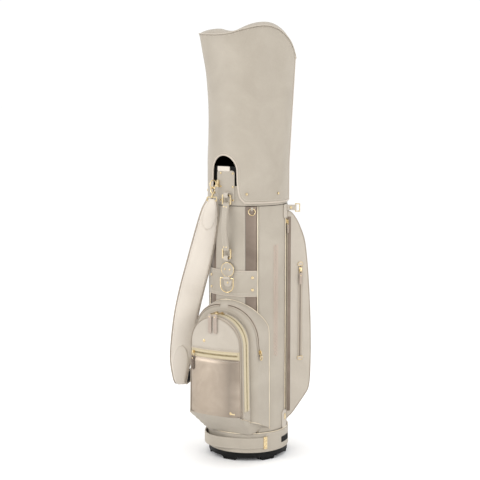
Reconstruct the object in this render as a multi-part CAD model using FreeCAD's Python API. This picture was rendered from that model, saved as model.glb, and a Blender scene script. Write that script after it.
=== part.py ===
"""Golf staff bag with a rain hood: a separate shape for each physical piece, in millimetres.

Frame: +Z up, origin on the ground at the middle of the base. The ball pocket faces -Y.
Angles round the body, called bearings, are in degrees from -Y towards +X.
"""

import FreeCAD, Part
import math
import os

V = FreeCAD.Vector
UP = V(0, 0, 1)
ORIGIN = V(0, 0, 0)

# Driving dimensions ------------------------------------------------------------------------------

BODY_R = 113.0          # outside of the round body shell
SKIN = 2.0              # thickness of a sewn leather panel
GAP = 0.2               # air between a skin and what it lies on
WALL = 2.4              # wall of a pocket
COLLAR_Z = (25.0, 82.0)
BODY_TOP = 744.0        # upper edge of the sewn panels
CUFF_TOP = 857.0
HOOD_BOTTOM = 752.0
HOOD_WALL = 1.8

PANEL_R = BODY_R + GAP              # inside of the panels
PANEL_OUT = PANEL_R + SKIN          # outside of the panels
BAND_R = PANEL_OUT + GAP            # inside of the belt band
BAND_OUT = BAND_R + 2.3
COLLAR_OUT = 119.5
CUFF_R = 112.0                      # outside of the moulded cuff
CUFF_IN = 104.0

# Bearings where one panel meets the next
YOKE_EDGE = 25.0
SIDE_EDGES = (42.5, 98.0)
REAR_EDGE = 109.5
PIPING_WIRE = 1.6
PIPING_R = 115.4

# Ball pocket: a deep lower bag with a shallower one sewn on its front
LOWER = dict(half=103.0, half_foot=105.0, arch_z=372.0, back=-60.0, front=-143.0)
UPPER = dict(half=84.0, half_foot=90.0, arch_z=355.0, back=-143.3, front=-185.0)
FACE = dict(half=80.0, half_foot=84.0, arch_z=356.0)
FACE_BULGE_R = 310.0                # plan radius of the bulging front face
FACE_FRONT = -203.0                 # its foremost point
POCKET_FOOT = 60.0                  # the outlines start here and are then cut to the sloping bottom
SLOPE_TOP = (-192.0, 152.0)         # y, z at the front edge of the sloping bottom
SLOPE_FOOT = (-119.0, 86.0)
SIDE_FOOT = (-78.6, 105.0)          # y, z of the bottom's side edges where they meet the body
SIDE_FOOT_GRADE = 0.41              # how fast those edges rise to the front
SIDE_FOLD = (88.0, 2.0)             # where the bottom folds down inside them, and its grade from there
FACE_ZIP_Z = (318.0, 344.0)
LOWER_ROUND = 22.0

# Long side pocket
SIDE_BEARING = 134.0
SIDE_HALF = 58.0
SIDE_ZIP_BEARING = 100.9

parts = {}
hardware = []                        # rivets, snaps and plates that are fixed to the body
anchors = []                         # tabs sewn to the body that hold a ring
body_zips = []                       # teeth of the two upright zips
zip_ends = []                        # small leather patches over the ends of the zips


def keep(name, *shapes):
    """Stores a node made of one or more separate solids."""
    solids = [s for shape in shapes for s in shape.Solids]
    parts[name] = solids[0] if len(solids) == 1 else Part.makeCompound(solids)
    return parts[name]


# Geometry helpers --------------------------------------------------------------------------------


def at(bearing, radius, z):
    a = math.radians(bearing)
    return V(radius * math.sin(a), -radius * math.cos(a), z)


def turned(shape, bearing):
    """A copy of a shape built at bearing 0, carried round to another bearing."""
    copy = shape.copy()
    copy.rotate(ORIGIN, UP, bearing)
    return copy


def tube(inner, outer, low, high):
    solid = Part.makeCylinder(outer, high - low, V(0, 0, low))
    return solid.cut(Part.makeCylinder(inner, high - low, V(0, 0, low)))


def sector(inner, outer, low, high, first, last):
    """A curved plate between two bearings."""
    corners = [at(first, inner, low), at(first, outer, low), at(first, outer, high), at(first, inner, high)]
    face = Part.Face(Part.makePolygon(corners + corners[:1]))
    return face.revolve(ORIGIN, UP, last - first)


def box(x, y, z):
    """A box from three (low, high) pairs."""
    return Part.makeBox(x[1] - x[0], y[1] - y[0], z[1] - z[0], V(x[0], y[0], z[0]))


def rod(start, end, radius):
    run = end.sub(start)
    return Part.makeCylinder(radius, run.Length, start, run)


def rounded_plate(width, low, high, thickness, y_back, top_round=False, foot_round=True):
    """An upright plate facing -Y, its back at y_back, with half-round ends where asked."""
    half = width / 2.0
    foot = low + half if foot_round else low
    head = high - half if top_round else high
    plate = box((-half, half), (y_back - thickness, y_back), (foot, head))
    for rounded, z in ((foot_round, foot), (top_round, head)):
        if rounded:
            plate = plate.fuse(Part.makeCylinder(half, thickness, V(0, y_back - thickness, z), V(0, 1, 0)))
    return plate.removeSplitter()


def rivet(y, x, z, radius=3.0, height=1.6):
    """A domed rivet head that stands on a plate facing -Y."""
    head = Part.makeCylinder(radius, height, V(x, y - height, z), V(0, 1, 0))
    return head.makeFillet(height * 0.55, [min(head.Edges, key=lambda e: e.BoundBox.YMax)])


def fused(shapes):
    result = shapes[0]
    for shape in shapes[1:]:
        result = result.fuse(shape)
    return result.removeSplitter()


def square_ring(width, height, wire, centre):
    """A flat rectangular ring of square wire that faces -Y, centred on a point."""
    outer = box((-width / 2, width / 2), (-wire / 2, wire / 2), (-height / 2, height / 2))
    upright = [e for e in outer.Edges if abs(e.tangentAt(e.FirstParameter).y) > 0.9]
    outer = outer.makeFillet(wire, upright)
    inner = box((-width / 2 + wire, width / 2 - wire), (-wire, wire), (-height / 2 + wire, height / 2 - wire))
    ring = outer.cut(inner)
    ring.translate(centre)
    return ring


# Base, body and cuff -----------------------------------------------------------------------------

FOOT_COUNT = 6
BASE_R = 116.5
BASE_TOP = COLLAR_Z[0]
VENT = dict(first=84.0, last=108.0, low=43.0, high=60.0)


def make_base():
    """Moulded base: a shallow upturned tray with six chamfered feet and a middle pad."""
    foot_length, foot_half_angle, foot_inner = 9.0, 11.5, 94.0
    deck, rim_width, pad_r, sole_share = 6.0, 8.0, 30.0, 0.82
    tray = tube(BASE_R - rim_width, BASE_R, foot_length, BASE_TOP)
    tray = tray.fuse(Part.makeCylinder(BASE_R - 1.0, deck, V(0, 0, BASE_TOP - deck)))
    low_edges = [e for e in tray.Edges if abs(e.BoundBox.ZMax - foot_length) < 0.01]
    tray = tray.makeChamfer(1.5, [e for e in low_edges if e.BoundBox.XMax > BASE_R - 1.0])
    pieces = [tray]
    middle_y = -(foot_inner + BASE_R) / 2
    corners = [(-foot_half_angle, foot_inner), (foot_half_angle, foot_inner),
               (foot_half_angle, BASE_R - 0.5), (-foot_half_angle, BASE_R - 0.5)]
    top = [at(bearing, radius, foot_length) for bearing, radius in corners]
    sole = [V(p.x * sole_share, middle_y + (p.y - middle_y) * sole_share, 0) for p in top]
    foot = Part.makeLoft([Part.makePolygon(ring + ring[:1]) for ring in (top, sole)], True, True)
    foot = foot.fuse(box((-22, 22), (-BASE_R + 3.0, -foot_inner + 2.0), (foot_length, BASE_TOP - 3.0)))
    rib = box((-1.5, 1.5), (-BASE_R + 6.0, -20.0), (8.0, BASE_TOP - 5.0))
    for k in range(FOOT_COUNT):
        turn = k * 360.0 / FOOT_COUNT
        pieces.append(turned(foot, turn))
        pieces.append(turned(rib, turn + 180.0 / FOOT_COUNT))
    pieces.append(Part.makeCylinder(pad_r, BASE_TOP - 3.0))
    keep("base_plate", fused(pieces))


def make_floor():
    keep("floor_board", Part.makeCylinder(110.0, 4.0, V(0, 0, BASE_TOP + 0.1)))


def make_collar():
    """Stiff leather-covered ring round the foot, with a slot for the drain vent."""
    collar = tube(BODY_R + 0.3, COLLAR_OUT, *COLLAR_Z)
    level_edges = [e for e in collar.Edges if e.BoundBox.ZLength < 0.01]
    collar = collar.makeFillet(2.0, [e for e in level_edges if e.BoundBox.XMax > COLLAR_OUT - 0.1])
    slot = sector(COLLAR_OUT - 2.5, COLLAR_OUT + 5, VENT["low"], VENT["high"], VENT["first"], VENT["last"])
    keep("bottom_collar", collar.cut(slot))
    frame = sector(COLLAR_OUT - 2.3, COLLAR_OUT + 0.8, VENT["low"] + 0.2, VENT["high"] - 0.2,
                   VENT["first"] + 0.1, VENT["last"] - 0.1)
    windows = [
        sector(COLLAR_OUT - 1.2, COLLAR_OUT + 5, low, low + 5.6, VENT["first"] + 1.3, VENT["last"] - 1.3)
        for low in (VENT["low"] + 2.0, VENT["low"] + 9.4)
    ]
    for window in windows:
        frame = frame.cut(window)
    keep("drain_vent", frame)


BELT_Z = (38.0, 71.0)
BELT_SPAN = (-78.0, 58.0)
BELT_PLATE_BEARINGS = (53.0, -74.5)
BULGE_START, BULGE_SPAN = 8.0, 86.0  # degrees along the belt where it stands off the collar


def make_base_handle():
    """Lifting belt round the front of the collar, standing off it on the left for a hand."""
    standoff, thickness, steps = 15.0, 3.6, 24
    first, last = BELT_SPAN
    bearings = [first + (last - first) * k / steps for k in range(steps + 1)]

    def bulge(bearing):
        share = (bearing - first - BULGE_START) / BULGE_SPAN
        return standoff * math.sin(math.pi * share) ** 2 if 0 < share < 1 else 0.0

    inner_r = COLLAR_OUT + 0.4
    inside = [at(b, inner_r + bulge(b), BELT_Z[0]) for b in bearings]
    outside = [at(b, inner_r + thickness + bulge(b), BELT_Z[0]) for b in bearings]
    curves = []
    for points in (inside, outside):
        curve = Part.BSplineCurve()
        curve.interpolate(points)
        curves.append(curve.toShape())
    ends = [Part.makeLine(inside[k], outside[k]) for k in (0, -1)]
    outline = Part.Wire(Part.__sortEdges__(curves + ends))
    belt = Part.Face(outline).extrude(V(0, 0, BELT_Z[1] - BELT_Z[0]))
    keep("base_handle_belt", belt)
    plate_in = inner_r + thickness + 0.1
    plates = []
    for bearing in BELT_PLATE_BEARINGS:
        plate = sector(plate_in, plate_in + 1.8, BELT_Z[0] - 2, BELT_Z[1] + 2, bearing - 2.6, bearing + 2.6)
        studs = [rivet(-plate_in - 1.7, 0, z, 3.2, 2.2) for z in (BELT_Z[0] + 5, BELT_Z[1] - 5)]
        plates.append(plate.fuse(turned(fused(studs), bearing)).removeSplitter())
    hardware.extend(plates)


def make_body():
    """Round shell of the body, the board tube inside it and the three rods that keep it upright."""
    floor_top, cuff_foot, rod_r, rod_place = BASE_TOP + 4.2, 734.5, 3.0, 105.5
    keep("body_shell", tube(BODY_R - SKIN, BODY_R, BASE_TOP, BODY_TOP))
    keep("stiffener_tube", tube(109.0, 110.8, floor_top, cuff_foot))
    rods = []
    for bearing in (60.0, 180.0, 300.0):
        rods.append(rod(at(bearing, rod_place, floor_top), at(bearing, rod_place, cuff_foot - 0.5), rod_r))
    keep("stay_rods", *rods)


def seam_cord(bearing, radius, low=0.0, high=900.0):
    """Round cord in the upright seam at a bearing."""
    return rod(at(bearing, PIPING_R, low), at(bearing, PIPING_R, high), radius)


def make_panels():
    """Sewn outer panels, the metallic strips between them, and the piping in their seams."""
    low = COLLAR_Z[1] + 0.5
    first, last = SIDE_EDGES
    seam = 1.1
    yoke, rear = (-YOKE_EDGE, YOKE_EDGE), (REAR_EDGE, 360.0 - REAR_EDGE)
    sides = [(first + seam, last - seam), (-last + seam, -first - seam)]
    keep("cover_panels", *[sector(PANEL_R, PANEL_OUT, low, BODY_TOP, *span) for span in [yoke, rear] + sides])
    strips = []
    for start, end in ((YOKE_EDGE + 0.3, first - seam), (last + seam, REAR_EDGE - 0.3)):
        strips.append(sector(PANEL_R, PANEL_OUT - 0.6, low, BODY_TOP, start, end))
        strips.append(sector(PANEL_R, PANEL_OUT - 0.6, low, BODY_TOP, -end, -start))
    keep("metallic_strips", *strips)
    seams = [bearing * side for bearing in SIDE_EDGES for side in (1, -1)]
    keep("body_piping", *[seam_cord(bearing, PIPING_WIRE, low, BODY_TOP) for bearing in seams])


BAND_Z = (485.0, 560.0)
BAND_EDGE = 41.0
BAND_SNAPS = [(bearing, z) for bearing in (-35.0, 35.0) for z in (540.0, 505.0)]


def make_band():
    """Belt band across the front above the ball pocket, with its snaps."""
    keep("belt_band", sector(BAND_R, BAND_OUT, *BAND_Z, -BAND_EDGE, BAND_EDGE))
    for bearing, z in BAND_SNAPS:
        hardware.append(turned(rivet(-BAND_OUT - 0.05, 0, z, 4.2, 2.2), bearing))


CUFF_PATCH = dict(low=753.0, high=845.0, first=-20.0, last=9.5)
CUFF_RIVETS = [(bearing, z) for bearing in (7.4, -12.5) for z in (761.0, 799.0, 837.0)]
PATCH_OUT = CUFF_R + 5.4
COVER_TOP = 800.0


def make_cuff():
    """Moulded cuff with its covering, and the riveted patch that carries the handle and strap."""
    lower = tube(CUFF_IN, BODY_R - SKIN - 0.3, 735.0, BODY_TOP + 1.0)
    upper = tube(CUFF_IN, CUFF_R, BODY_TOP + 1.0, CUFF_TOP)
    lip = [e for e in upper.Edges if abs(e.BoundBox.ZMin - CUFF_TOP) < 0.01]
    keep("cuff_ring", lower.fuse(upper.makeFillet(3.5, lip)).removeSplitter())
    keep("cuff_cover", tube(CUFF_R + GAP, CUFF_R + 2.4, BODY_TOP + 1.5, COVER_TOP))
    patch = CUFF_PATCH
    keep("cuff_patch", sector(CUFF_R + 2.6, PATCH_OUT, patch["low"], patch["high"], patch["first"], patch["last"]))
    for bearing, z in CUFF_RIVETS:
        hardware.append(turned(rivet(-PATCH_OUT - 0.05, 0, z, 3.0, 1.8), bearing))


# Dividers ----------------------------------------------------------------------------------------

DIVIDER_R = 103.4
CROSS_Y = (-34.0, 34.0)


def cross_pieces(half_length, width, low, high):
    """Two long pieces across the body and the three short ones between and beyond them."""
    half_width = width / 2
    across = (-half_length, half_length)
    long_ones = [box(across, (y - half_width, y + half_width), (low, high)) for y in CROSS_Y]
    first, last = CROSS_Y
    spans = [(-half_length, first - half_width), (first + half_width, last - half_width),
             (last + half_width, half_length)]
    short_ones = [box((-half_width, half_width), span, (low, high)) for span in spans]
    inside = Part.makeCylinder(half_length, high - low, V(0, 0, low))
    return [piece.common(inside) for piece in long_ones + short_ones]


def make_dividers():
    """Six-way top: a rim in six arcs that meet at the ends of its bars; fabric walls hang from the bars."""
    top, depth, bar, rim = 848.0, 22.0, 9.0, 7.0
    inner = DIVIDER_R - rim
    side = math.degrees(math.acos(CROSS_Y[1] / inner))
    meetings = [0.0, side, 180.0 - side, 180.0, 180.0 + side, 360.0 - side, 360.0]
    arcs = [sector(inner, DIVIDER_R, top - depth, top, *ends) for ends in zip(meetings, meetings[1:])]
    keep("divider_top", *arcs, *cross_pieces(inner, bar, top - depth, top))
    keep("divider_walls", *cross_pieces(101.0, 1.6, BASE_TOP + 6.0, top - depth - 0.2))


# Ball pocket -------------------------------------------------------------------------------------


def arch_face(spec, y, inset=0.0):
    """The face of a round-topped outline in a plane of constant y."""
    half, foot_half, centre = spec["half"] - inset, spec["half_foot"] - inset, spec["arch_z"]
    left, right = V(-half, y, centre), V(half, y, centre)
    crown = V(0, y, centre + half)
    arc = Part.Arc(left, crown, right).toShape()
    feet = [V(foot_half, y, POCKET_FOOT), V(-foot_half, y, POCKET_FOOT)]
    sides = [Part.makeLine(right, feet[0]), Part.makeLine(feet[0], feet[1]), Part.makeLine(feet[1], left)]
    return Part.Face(Part.Wire([arc] + sides))


def arch_prism(spec, back, front, inset=0.0):
    return arch_face(spec, back, inset).extrude(V(0, front - back, 0))


def below_slope(inset=0.0):
    """Everything under the sloping bottom of the ball pocket."""
    (y_top, z_top), (y_foot, z_foot) = SLOPE_TOP, SLOPE_FOOT
    grade = (z_top - z_foot) / (y_top - y_foot)
    lift = inset * math.hypot(1.0, grade)

    def height(y):
        return z_foot + grade * (y - y_foot) + lift

    flat = COLLAR_Z[1] + 1.5 + inset
    y_flat = y_foot + (flat - z_foot - lift) / grade
    outline = [(-260.0, height(-260.0)), (y_flat, flat), (0.0, flat), (0.0, 0.0), (-260.0, 0.0)]
    points = [V(-150.0, y, z) for y, z in outline]
    front = Part.Face(Part.makePolygon(points + points[:1])).extrude(V(300.0, 0, 0))
    side = below_side_edge(inset)
    return front.fuse(side).fuse(mirrored(side))


def below_side_edge(inset):
    """Everything under the rising side edge of the ball pocket, on the right."""
    back, reach, wide, deep = 0.0, 250.0, 150.0, 300.0
    fold_x, fold_grade = SIDE_FOLD[0] - 0.6 * inset, SIDE_FOLD[1]
    edge_z = SIDE_FOOT[1] + SIDE_FOOT_GRADE * (SIDE_FOOT[0] - back) + inset * math.hypot(1.0, SIDE_FOOT_GRADE)
    inner_x = 40.0
    inner_z = edge_z - fold_grade * (fold_x - inner_x)
    outline = [(wide, edge_z), (fold_x, edge_z), (inner_x, inner_z), (inner_x, -deep), (wide, -deep)]
    points = [V(x, back, z) for x, z in outline]
    run = V(0, -reach, SIDE_FOOT_GRADE * reach)
    return Part.Face(Part.makePolygon(points + points[:1])).extrude(run)


def round_front(solid, front, radius):
    """Rounds the edge between a bag's front and its sides, but not along its foot."""
    front_edges = [e for e in solid.Edges if e.BoundBox.YMax < front + 0.01]
    return solid.makeFillet(radius, [e for e in front_edges if e.BoundBox.ZMax > POCKET_FOOT + 1])


def body_cylinder(radius):
    return Part.makeCylinder(radius, 900.0, V(0, 0, 0))


def lower_bag(inset):
    spec = LOWER
    front = spec["front"] + inset
    solid = round_front(arch_prism(spec, spec["back"], front, inset), front, LOWER_ROUND - inset)
    return solid.cut(below_slope(inset)).cut(body_cylinder(PANEL_OUT + PIPING_WIRE + 0.6 + inset))


def upper_bag(inset):
    spec = UPPER
    solid = arch_prism(spec, spec["back"] - inset, spec["front"] + inset, inset)
    return solid.cut(below_slope(inset))


def bulge(radius_change=0.0):
    """Upright cylinder whose front is the bulging face of the pocket."""
    radius = FACE_BULGE_R + radius_change
    return Part.makeCylinder(radius, 500.0, V(0, FACE_FRONT + FACE_BULGE_R, 0))


def face_plate(low, high, thickness=2.6, proud=0.0, inset=0.0):
    """A slice of the bulging front face between two heights."""
    slab = arch_prism(FACE, UPPER["front"] - 4.0, FACE_FRONT - 8.0, inset)
    skin = bulge(proud).cut(bulge(proud - thickness))
    slice_ = box((-120, 120), (-230, -150), (low, high))
    return slab.common(skin).common(slice_).cut(below_slope())


def make_ball_pocket():
    keep("ball_pocket_lower", lower_bag(0.0).cut(lower_bag(WALL)))
    keep("ball_pocket_upper", upper_bag(0.0).cut(upper_bag(WALL)))
    rim = arch_prism(FACE, UPPER["front"] - 0.3, FACE_FRONT - 8.0).cut(arch_prism(FACE, -150.0, -240.0, 2.4))
    rim = rim.common(bulge(-2.8)).cut(below_slope())
    keep("face_rim", rim)
    keep("face_upper", face_plate(FACE_ZIP_Z[1] + 0.2, 450.0))
    keep("face_metallic", face_plate(60.0, FACE_ZIP_Z[0] - 0.2))


def arc_band(centre_z, inner, outer, y, first, last):
    """A flat ring piece in the XZ plane between two angles from the top, y = (back, front)."""
    start = math.radians(first)
    points = [V(r * math.sin(start), y[0], centre_z + r * math.cos(start)) for r in (inner, outer)]
    corners = [points[0], points[1], V(points[1].x, y[1], points[1].z), V(points[0].x, y[1], points[0].z)]
    face = Part.Face(Part.makePolygon(corners + corners[:1]))
    return face.revolve(V(0, 0, centre_z), V(0, 1, 0), last - first)


def mirrored(shape):
    return shape.mirror(ORIGIN, V(1, 0, 0))


UPPER_ZIP_Y = (-161.0, -169.0)
UPPER_ZIP_REST = 5.5                 # degrees from the top of the arch at which each slider rests


def make_upper_zip():
    """Zip round the gusset of the upper bag, with two sliders that meet at its top."""
    centre, radius = UPPER["arch_z"], UPPER["half"] + 0.2
    arch = arc_band(centre, radius, radius + 1.5, UPPER_ZIP_Y, -90.0, 90.0)
    foot_z = 168.0
    lean = (UPPER["half_foot"] - UPPER["half"]) * (centre - foot_z) / (centre - POCKET_FOOT)
    legs = []
    for side in (1, -1):
        top = [V(side * (radius + t), UPPER_ZIP_Y[0], centre) for t in (0, 1.5)]
        foot = [V(side * (radius + t + lean), UPPER_ZIP_Y[0], foot_z) for t in (1.5, 0)]
        outline = Part.makePolygon(top + foot + top[:1])
        legs.append(Part.Face(outline).extrude(V(0, UPPER_ZIP_Y[1] - UPPER_ZIP_Y[0], 0)))
    keep("upper_zip_chain", fused([arch] + legs))
    for side, name in ((1, "right"), (-1, "left")):
        slider, pull, pin = upper_zip_slider(centre, radius)
        slider.rotate(V(0, 0, centre), V(0, 1, 0), side * UPPER_ZIP_REST)
        turn = FreeCAD.Rotation(V(0, 1, 0), side * UPPER_ZIP_REST)
        moved = turn.multVec(pin - V(0, 0, centre)) + V(0, 0, centre)
        pull.translate(moved - pin)
        hole = Part.makeCylinder(1.3, 8.0, V(moved.x - 4.0, moved.y, moved.z), V(1, 0, 0))
        keep("upper_zip_slider_" + name, slider.cut(hole))
        keep("upper_zip_pull_" + name, pull)


def upper_zip_slider(centre, radius):
    """Slider and leather pull at the top of the arch, before they are turned to their rest places."""
    top = centre + radius + 1.5
    middle = sum(UPPER_ZIP_Y) / 2
    body = box((-4.5, 4.5), (middle - 5, middle + 5), (top + 0.3, top + 3.0))
    eye = box((-2.0, 2.0), (middle - 6.5, middle + 2.0), (top + 3.0, top + 6.8))
    pin_y, pin_z = middle - 4.0, top + 4.9
    pin = Part.makeCylinder(0.9, 9.0, V(-4.5, pin_y, pin_z), V(1, 0, 0))
    front = FACE_FRONT - 2.6
    arms = [box((x - 0.9, x + 0.9), (front, pin_y + 0.9), (pin_z - 0.9, pin_z + 0.9)) for x in (-3.6, 3.6)]
    tab_top, tab_foot = pin_z + 1.6, pin_z - 54.0
    tab = rounded_plate(11.0, tab_foot, tab_top, 3.0, front)
    return fused([body, eye]), fused([pin, tab] + arms), V(0, pin_y, pin_z)


FACE_ZIP_MID = sum(FACE_ZIP_Z) / 2
FACE_ZIP_REST = -12.6                # degrees round the bulge centre: the slider's rest place


def make_face_zip():
    """Zip across the bulging face, its chain, its slider and its hanging pull."""
    half_width, half_length = 2.6, 74.0
    reach = box((-half_length, half_length), (-230, -150), (FACE_ZIP_MID - half_width, FACE_ZIP_MID + half_width))
    chain = bulge(0.9).cut(bulge(-0.3)).common(reach)
    keep("face_zip_tape", face_plate(FACE_ZIP_Z[0], FACE_ZIP_Z[1], 2.2, -0.4), chain)
    centre = V(0, FACE_FRONT + FACE_BULGE_R, 0)
    surface = FACE_FRONT - 0.9
    body = box((-5, 5), (surface - 3.0, surface - 0.3), (FACE_ZIP_MID - 4, FACE_ZIP_MID + 4))
    eye = box((-1.6, 1.6), (surface - 6.6, surface - 3.0), (FACE_ZIP_MID - 3.4, FACE_ZIP_MID + 3.4))
    pin_y, pin_z = surface - 4.8, FACE_ZIP_MID - 1.4
    hole = Part.makeCylinder(1.2, 6.0, V(-3.0, pin_y, pin_z), V(1, 0, 0))
    slider = fused([body, eye]).cut(hole)
    pin = Part.makeCylinder(0.85, 8.0, V(-4.0, pin_y, pin_z), V(1, 0, 0))
    arm_y, arm_z = (pin_y - 0.85, pin_y + 0.85), (pin_z - 10.0, pin_z + 0.85)
    arms = [box((x - 0.8, x + 0.8), arm_y, arm_z) for x in (-3.2, 3.2)]
    tab = rounded_plate(8.0, pin_z - 50.0, pin_z - 9.0, 2.4, pin_y + 1.2)
    pull = fused([pin, tab] + arms)
    for shape, node in ((slider, "face_zip_slider"), (pull, "face_zip_pull")):
        shape.rotate(centre, UP, FACE_ZIP_REST)
        keep(node, shape)


LOWER_ZIP_WIDTH = 8.0
LOWER_ZIP_ROLL = (27.0, 90.0)        # how far round the rounded edge the zip lies at its top and at its foot
LOWER_ZIP_FOOT_Z = 320.0
LOWER_ZIP_STEPS = 14
LOWER_SLIDER_Z = 333.0
LOWER_SLIDER_TILT = 8.0             # the zip's lean to the front at its foot


def lower_zip_section(share):
    """Section of the zip at a share of its length, on the rounded edge of the lower bag."""
    centre_z, half = LOWER["arch_z"], LOWER["half"]
    arc_length, leg = math.radians(90.0) * half, centre_z - LOWER_ZIP_FOOT_Z
    start = math.radians(9.0) * half
    run = start + share * (arc_length + leg - start)
    angle = min(run, arc_length) / half
    drop = max(run - arc_length, 0.0)
    radial = V(math.sin(angle), 0, math.cos(angle))
    roll = math.radians(LOWER_ZIP_ROLL[0] + (LOWER_ZIP_ROLL[1] - LOWER_ZIP_ROLL[0]) * share)
    normal = radial * math.sin(roll) + V(0, -math.cos(roll), 0)
    middle = radial * (half - LOWER_ROUND) + V(0, LOWER["front"] + LOWER_ROUND, centre_z - drop)
    across = radial * math.cos(roll) + V(0, math.sin(roll), 0)
    corners = []
    for lift, side in ((0.25, -1), (0.25, 1), (1.5, 1), (1.5, -1)):
        slack = math.hypot(LOWER_ROUND, LOWER_ZIP_WIDTH / 2) - LOWER_ROUND if lift < 1.0 else 0.0
        corners.append(middle + normal * (LOWER_ROUND + lift + slack) + across * (side * LOWER_ZIP_WIDTH / 2))
    return Part.makePolygon(corners + corners[:1])


def make_lower_zips():
    """Two zips that run down the rounded shoulder of the lower bag, each with a slider at its foot."""
    sections = [lower_zip_section(k / LOWER_ZIP_STEPS) for k in range(LOWER_ZIP_STEPS + 1)]
    right = Part.makeLoft(sections, True, True)
    right = right.cut(lower_bag(-0.2))
    left = mirrored(right)
    foot = V(LOWER["half"] + 1.9, LOWER["front"] + LOWER_ROUND - 1.6, LOWER_SLIDER_Z)
    slider, pull = lower_zip_slider()
    for shape in (slider, pull):
        shape.rotate(ORIGIN, V(1, 0, 0), LOWER_SLIDER_TILT)
        shape.translate(foot)
    keep("lower_zip_slider", slider)
    keep("lower_zip_pull", pull)
    keep("lower_zip_chains", right, left, mirrored(slider), mirrored(pull))


def lower_zip_slider():
    """Slider and ring pull on a wall that faces +X, at the origin."""
    body = box((0.3, 3.0), (-4.5, 4.5), (-6, 6))
    eye = box((3.0, 6.8), (-1.8, 1.8), (-4, 4))
    slider = fused([body, eye]).cut(Part.makeCylinder(1.3, 6.0, V(4.9, -3.0, -1.0), V(0, 1, 0)))
    pin = Part.makeCylinder(0.9, 9.0, V(4.9, -4.5, -1.0), V(0, 1, 0))
    arms = [box((4.0, 5.8), (y - 0.9, y + 0.9), (-12.0, -0.1)) for y in (-3.6, 3.6)]
    ring = Part.makeCylinder(7.0, 1.8, V(4.0, 0, -17.5), V(1, 0, 0))
    ring = ring.cut(Part.makeCylinder(4.2, 1.8, V(4.0, 0, -17.5), V(1, 0, 0)))
    return slider, fused([pin, ring] + arms)


def make_pocket_trim():
    """Leather tab across the top seam of the two bags."""
    centre, radius = UPPER["arch_z"], UPPER["half"] + 0.2
    keep("pocket_top_tab", arc_band(centre, radius, radius + 2.0, (-144.5, -159.5), -11.0, 11.0))


# Long side pocket --------------------------------------------------------------------------------


def side_profile(inset):
    """Outline of the pocket seen from the side: x is out from the axis, in a plane of constant y."""
    t = inset
    foot, belly_foot = V(88, 0, 94 + t), V(118.5 - t * 0.75, 0, 118 + t * 0.7)
    belly_low = [V(149 - t * 0.85, 0, 158 + t * 0.5), V(169.5 - t, 0, 189 + t * 0.3)]
    belly = belly_low + [V(176 - t, 0, 232), V(177.5 - t, 0, 330), V(171 - t, 0, 500)]
    shoulder, head = V(160.5 - t, 0, 615 - t * 0.4), V(88, 0, 727 - t * 1.5)
    front = Part.BSplineCurve()
    crest = [shoulder, V(146 - t * 0.8, 0, 668 - t * 0.7), V(118, 0, 716 - t), head]
    front.interpolate([belly_foot] + belly + crest)
    under = Part.makeLine(foot, belly_foot)
    return Part.Wire([under, front.toShape(), Part.makeLine(head, foot)])


def side_bag(inset):
    """The closed side pocket, built facing +X and then carried to its bearing."""
    half = SIDE_HALF - inset
    face = Part.Face(side_profile(inset))
    face.translate(V(0, -half, 0))
    solid = face.extrude(V(0, 2 * half, 0))
    solid.rotate(ORIGIN, UP, SIDE_BEARING - 90.0)
    return solid.cut(body_cylinder(PANEL_OUT + 0.4 + inset))


def side_placed(shape):
    """Moves a shape built against a pocket that faces +X to where the pocket is."""
    shape.rotate(ORIGIN, UP, SIDE_BEARING - 90.0)
    return shape


SIDE_ZIP_X = 142.0
SIDE_ZIP_Z = (290.0, 562.0)


def make_side_pocket():
    keep("side_pocket", side_bag(0.0).cut(side_bag(WALL)))
    wall_y = -SIDE_HALF
    chain = box((SIDE_ZIP_X - 3.5, SIDE_ZIP_X + 3.5), (wall_y - 1.7, wall_y - 0.2), SIDE_ZIP_Z)
    beside_chain = box((100, 180), (-70, -50), (SIDE_ZIP_Z[0] - 0.1, SIDE_ZIP_Z[1] + 0.1))
    for z in (SIDE_ZIP_Z[0] - 6.0, SIDE_ZIP_Z[1] + 6.0):
        end = Part.makeCylinder(7.5, 2.0, V(SIDE_ZIP_X, wall_y - 0.2, z), V(0, -1, 0))
        zip_ends.append(side_placed(end.cut(beside_chain)))
    body_zips.append(side_placed(chain))
    slider, pull = wall_slider(34.0)
    rest = V(SIDE_ZIP_X, wall_y - 1.7, SIDE_ZIP_Z[1] - 12.0)
    for shape, node in ((slider, "side_zip_slider"), (pull, "side_zip_pull")):
        shape.translate(rest)
        keep(node, side_placed(shape))


def wall_slider(tab_length):
    """Slider and hanging leather pull on an upright wall that faces -Y, at the origin."""
    body = box((-4.5, 4.5), (-3.0, -0.3), (-6, 6))
    eye = box((-1.8, 1.8), (-6.8, -3.0), (-4, 4))
    slider = fused([body, eye]).cut(Part.makeCylinder(1.3, 6.0, V(-3.0, -4.9, -1.0), V(1, 0, 0)))
    pin = Part.makeCylinder(0.9, 9.0, V(-4.5, -4.9, -1.0), V(1, 0, 0))
    arms = [box((x - 0.9, x + 0.9), (-5.8, -4.0), (-11.0, -0.1)) for x in (-3.6, 3.6)]
    tab = rounded_plate(9.0, -10.0 - tab_length, -10.0, 2.6, -3.6)
    return slider, fused([pin, tab] + arms)


LONG_ZIP_Z = (137.0, 703.0)
STRIP_PATCH_R = (PANEL_OUT + 0.25, PANEL_OUT + 3.0)


def strip_patch(low, high, first, last):
    """Curved leather patch that lies across the piping in the right-hand strip, with rounded corners."""
    patch = sector(*STRIP_PATCH_R, low, high, first, last)
    corners = [e for e in patch.Edges if e.BoundBox.ZLength < 0.01 and 1.0 < e.Length < 5.0]
    patch = patch.makeFillet(6.0, corners)
    return patch.cut(seam_cord(SIDE_EDGES[1], PIPING_WIRE + 0.15))


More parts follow.
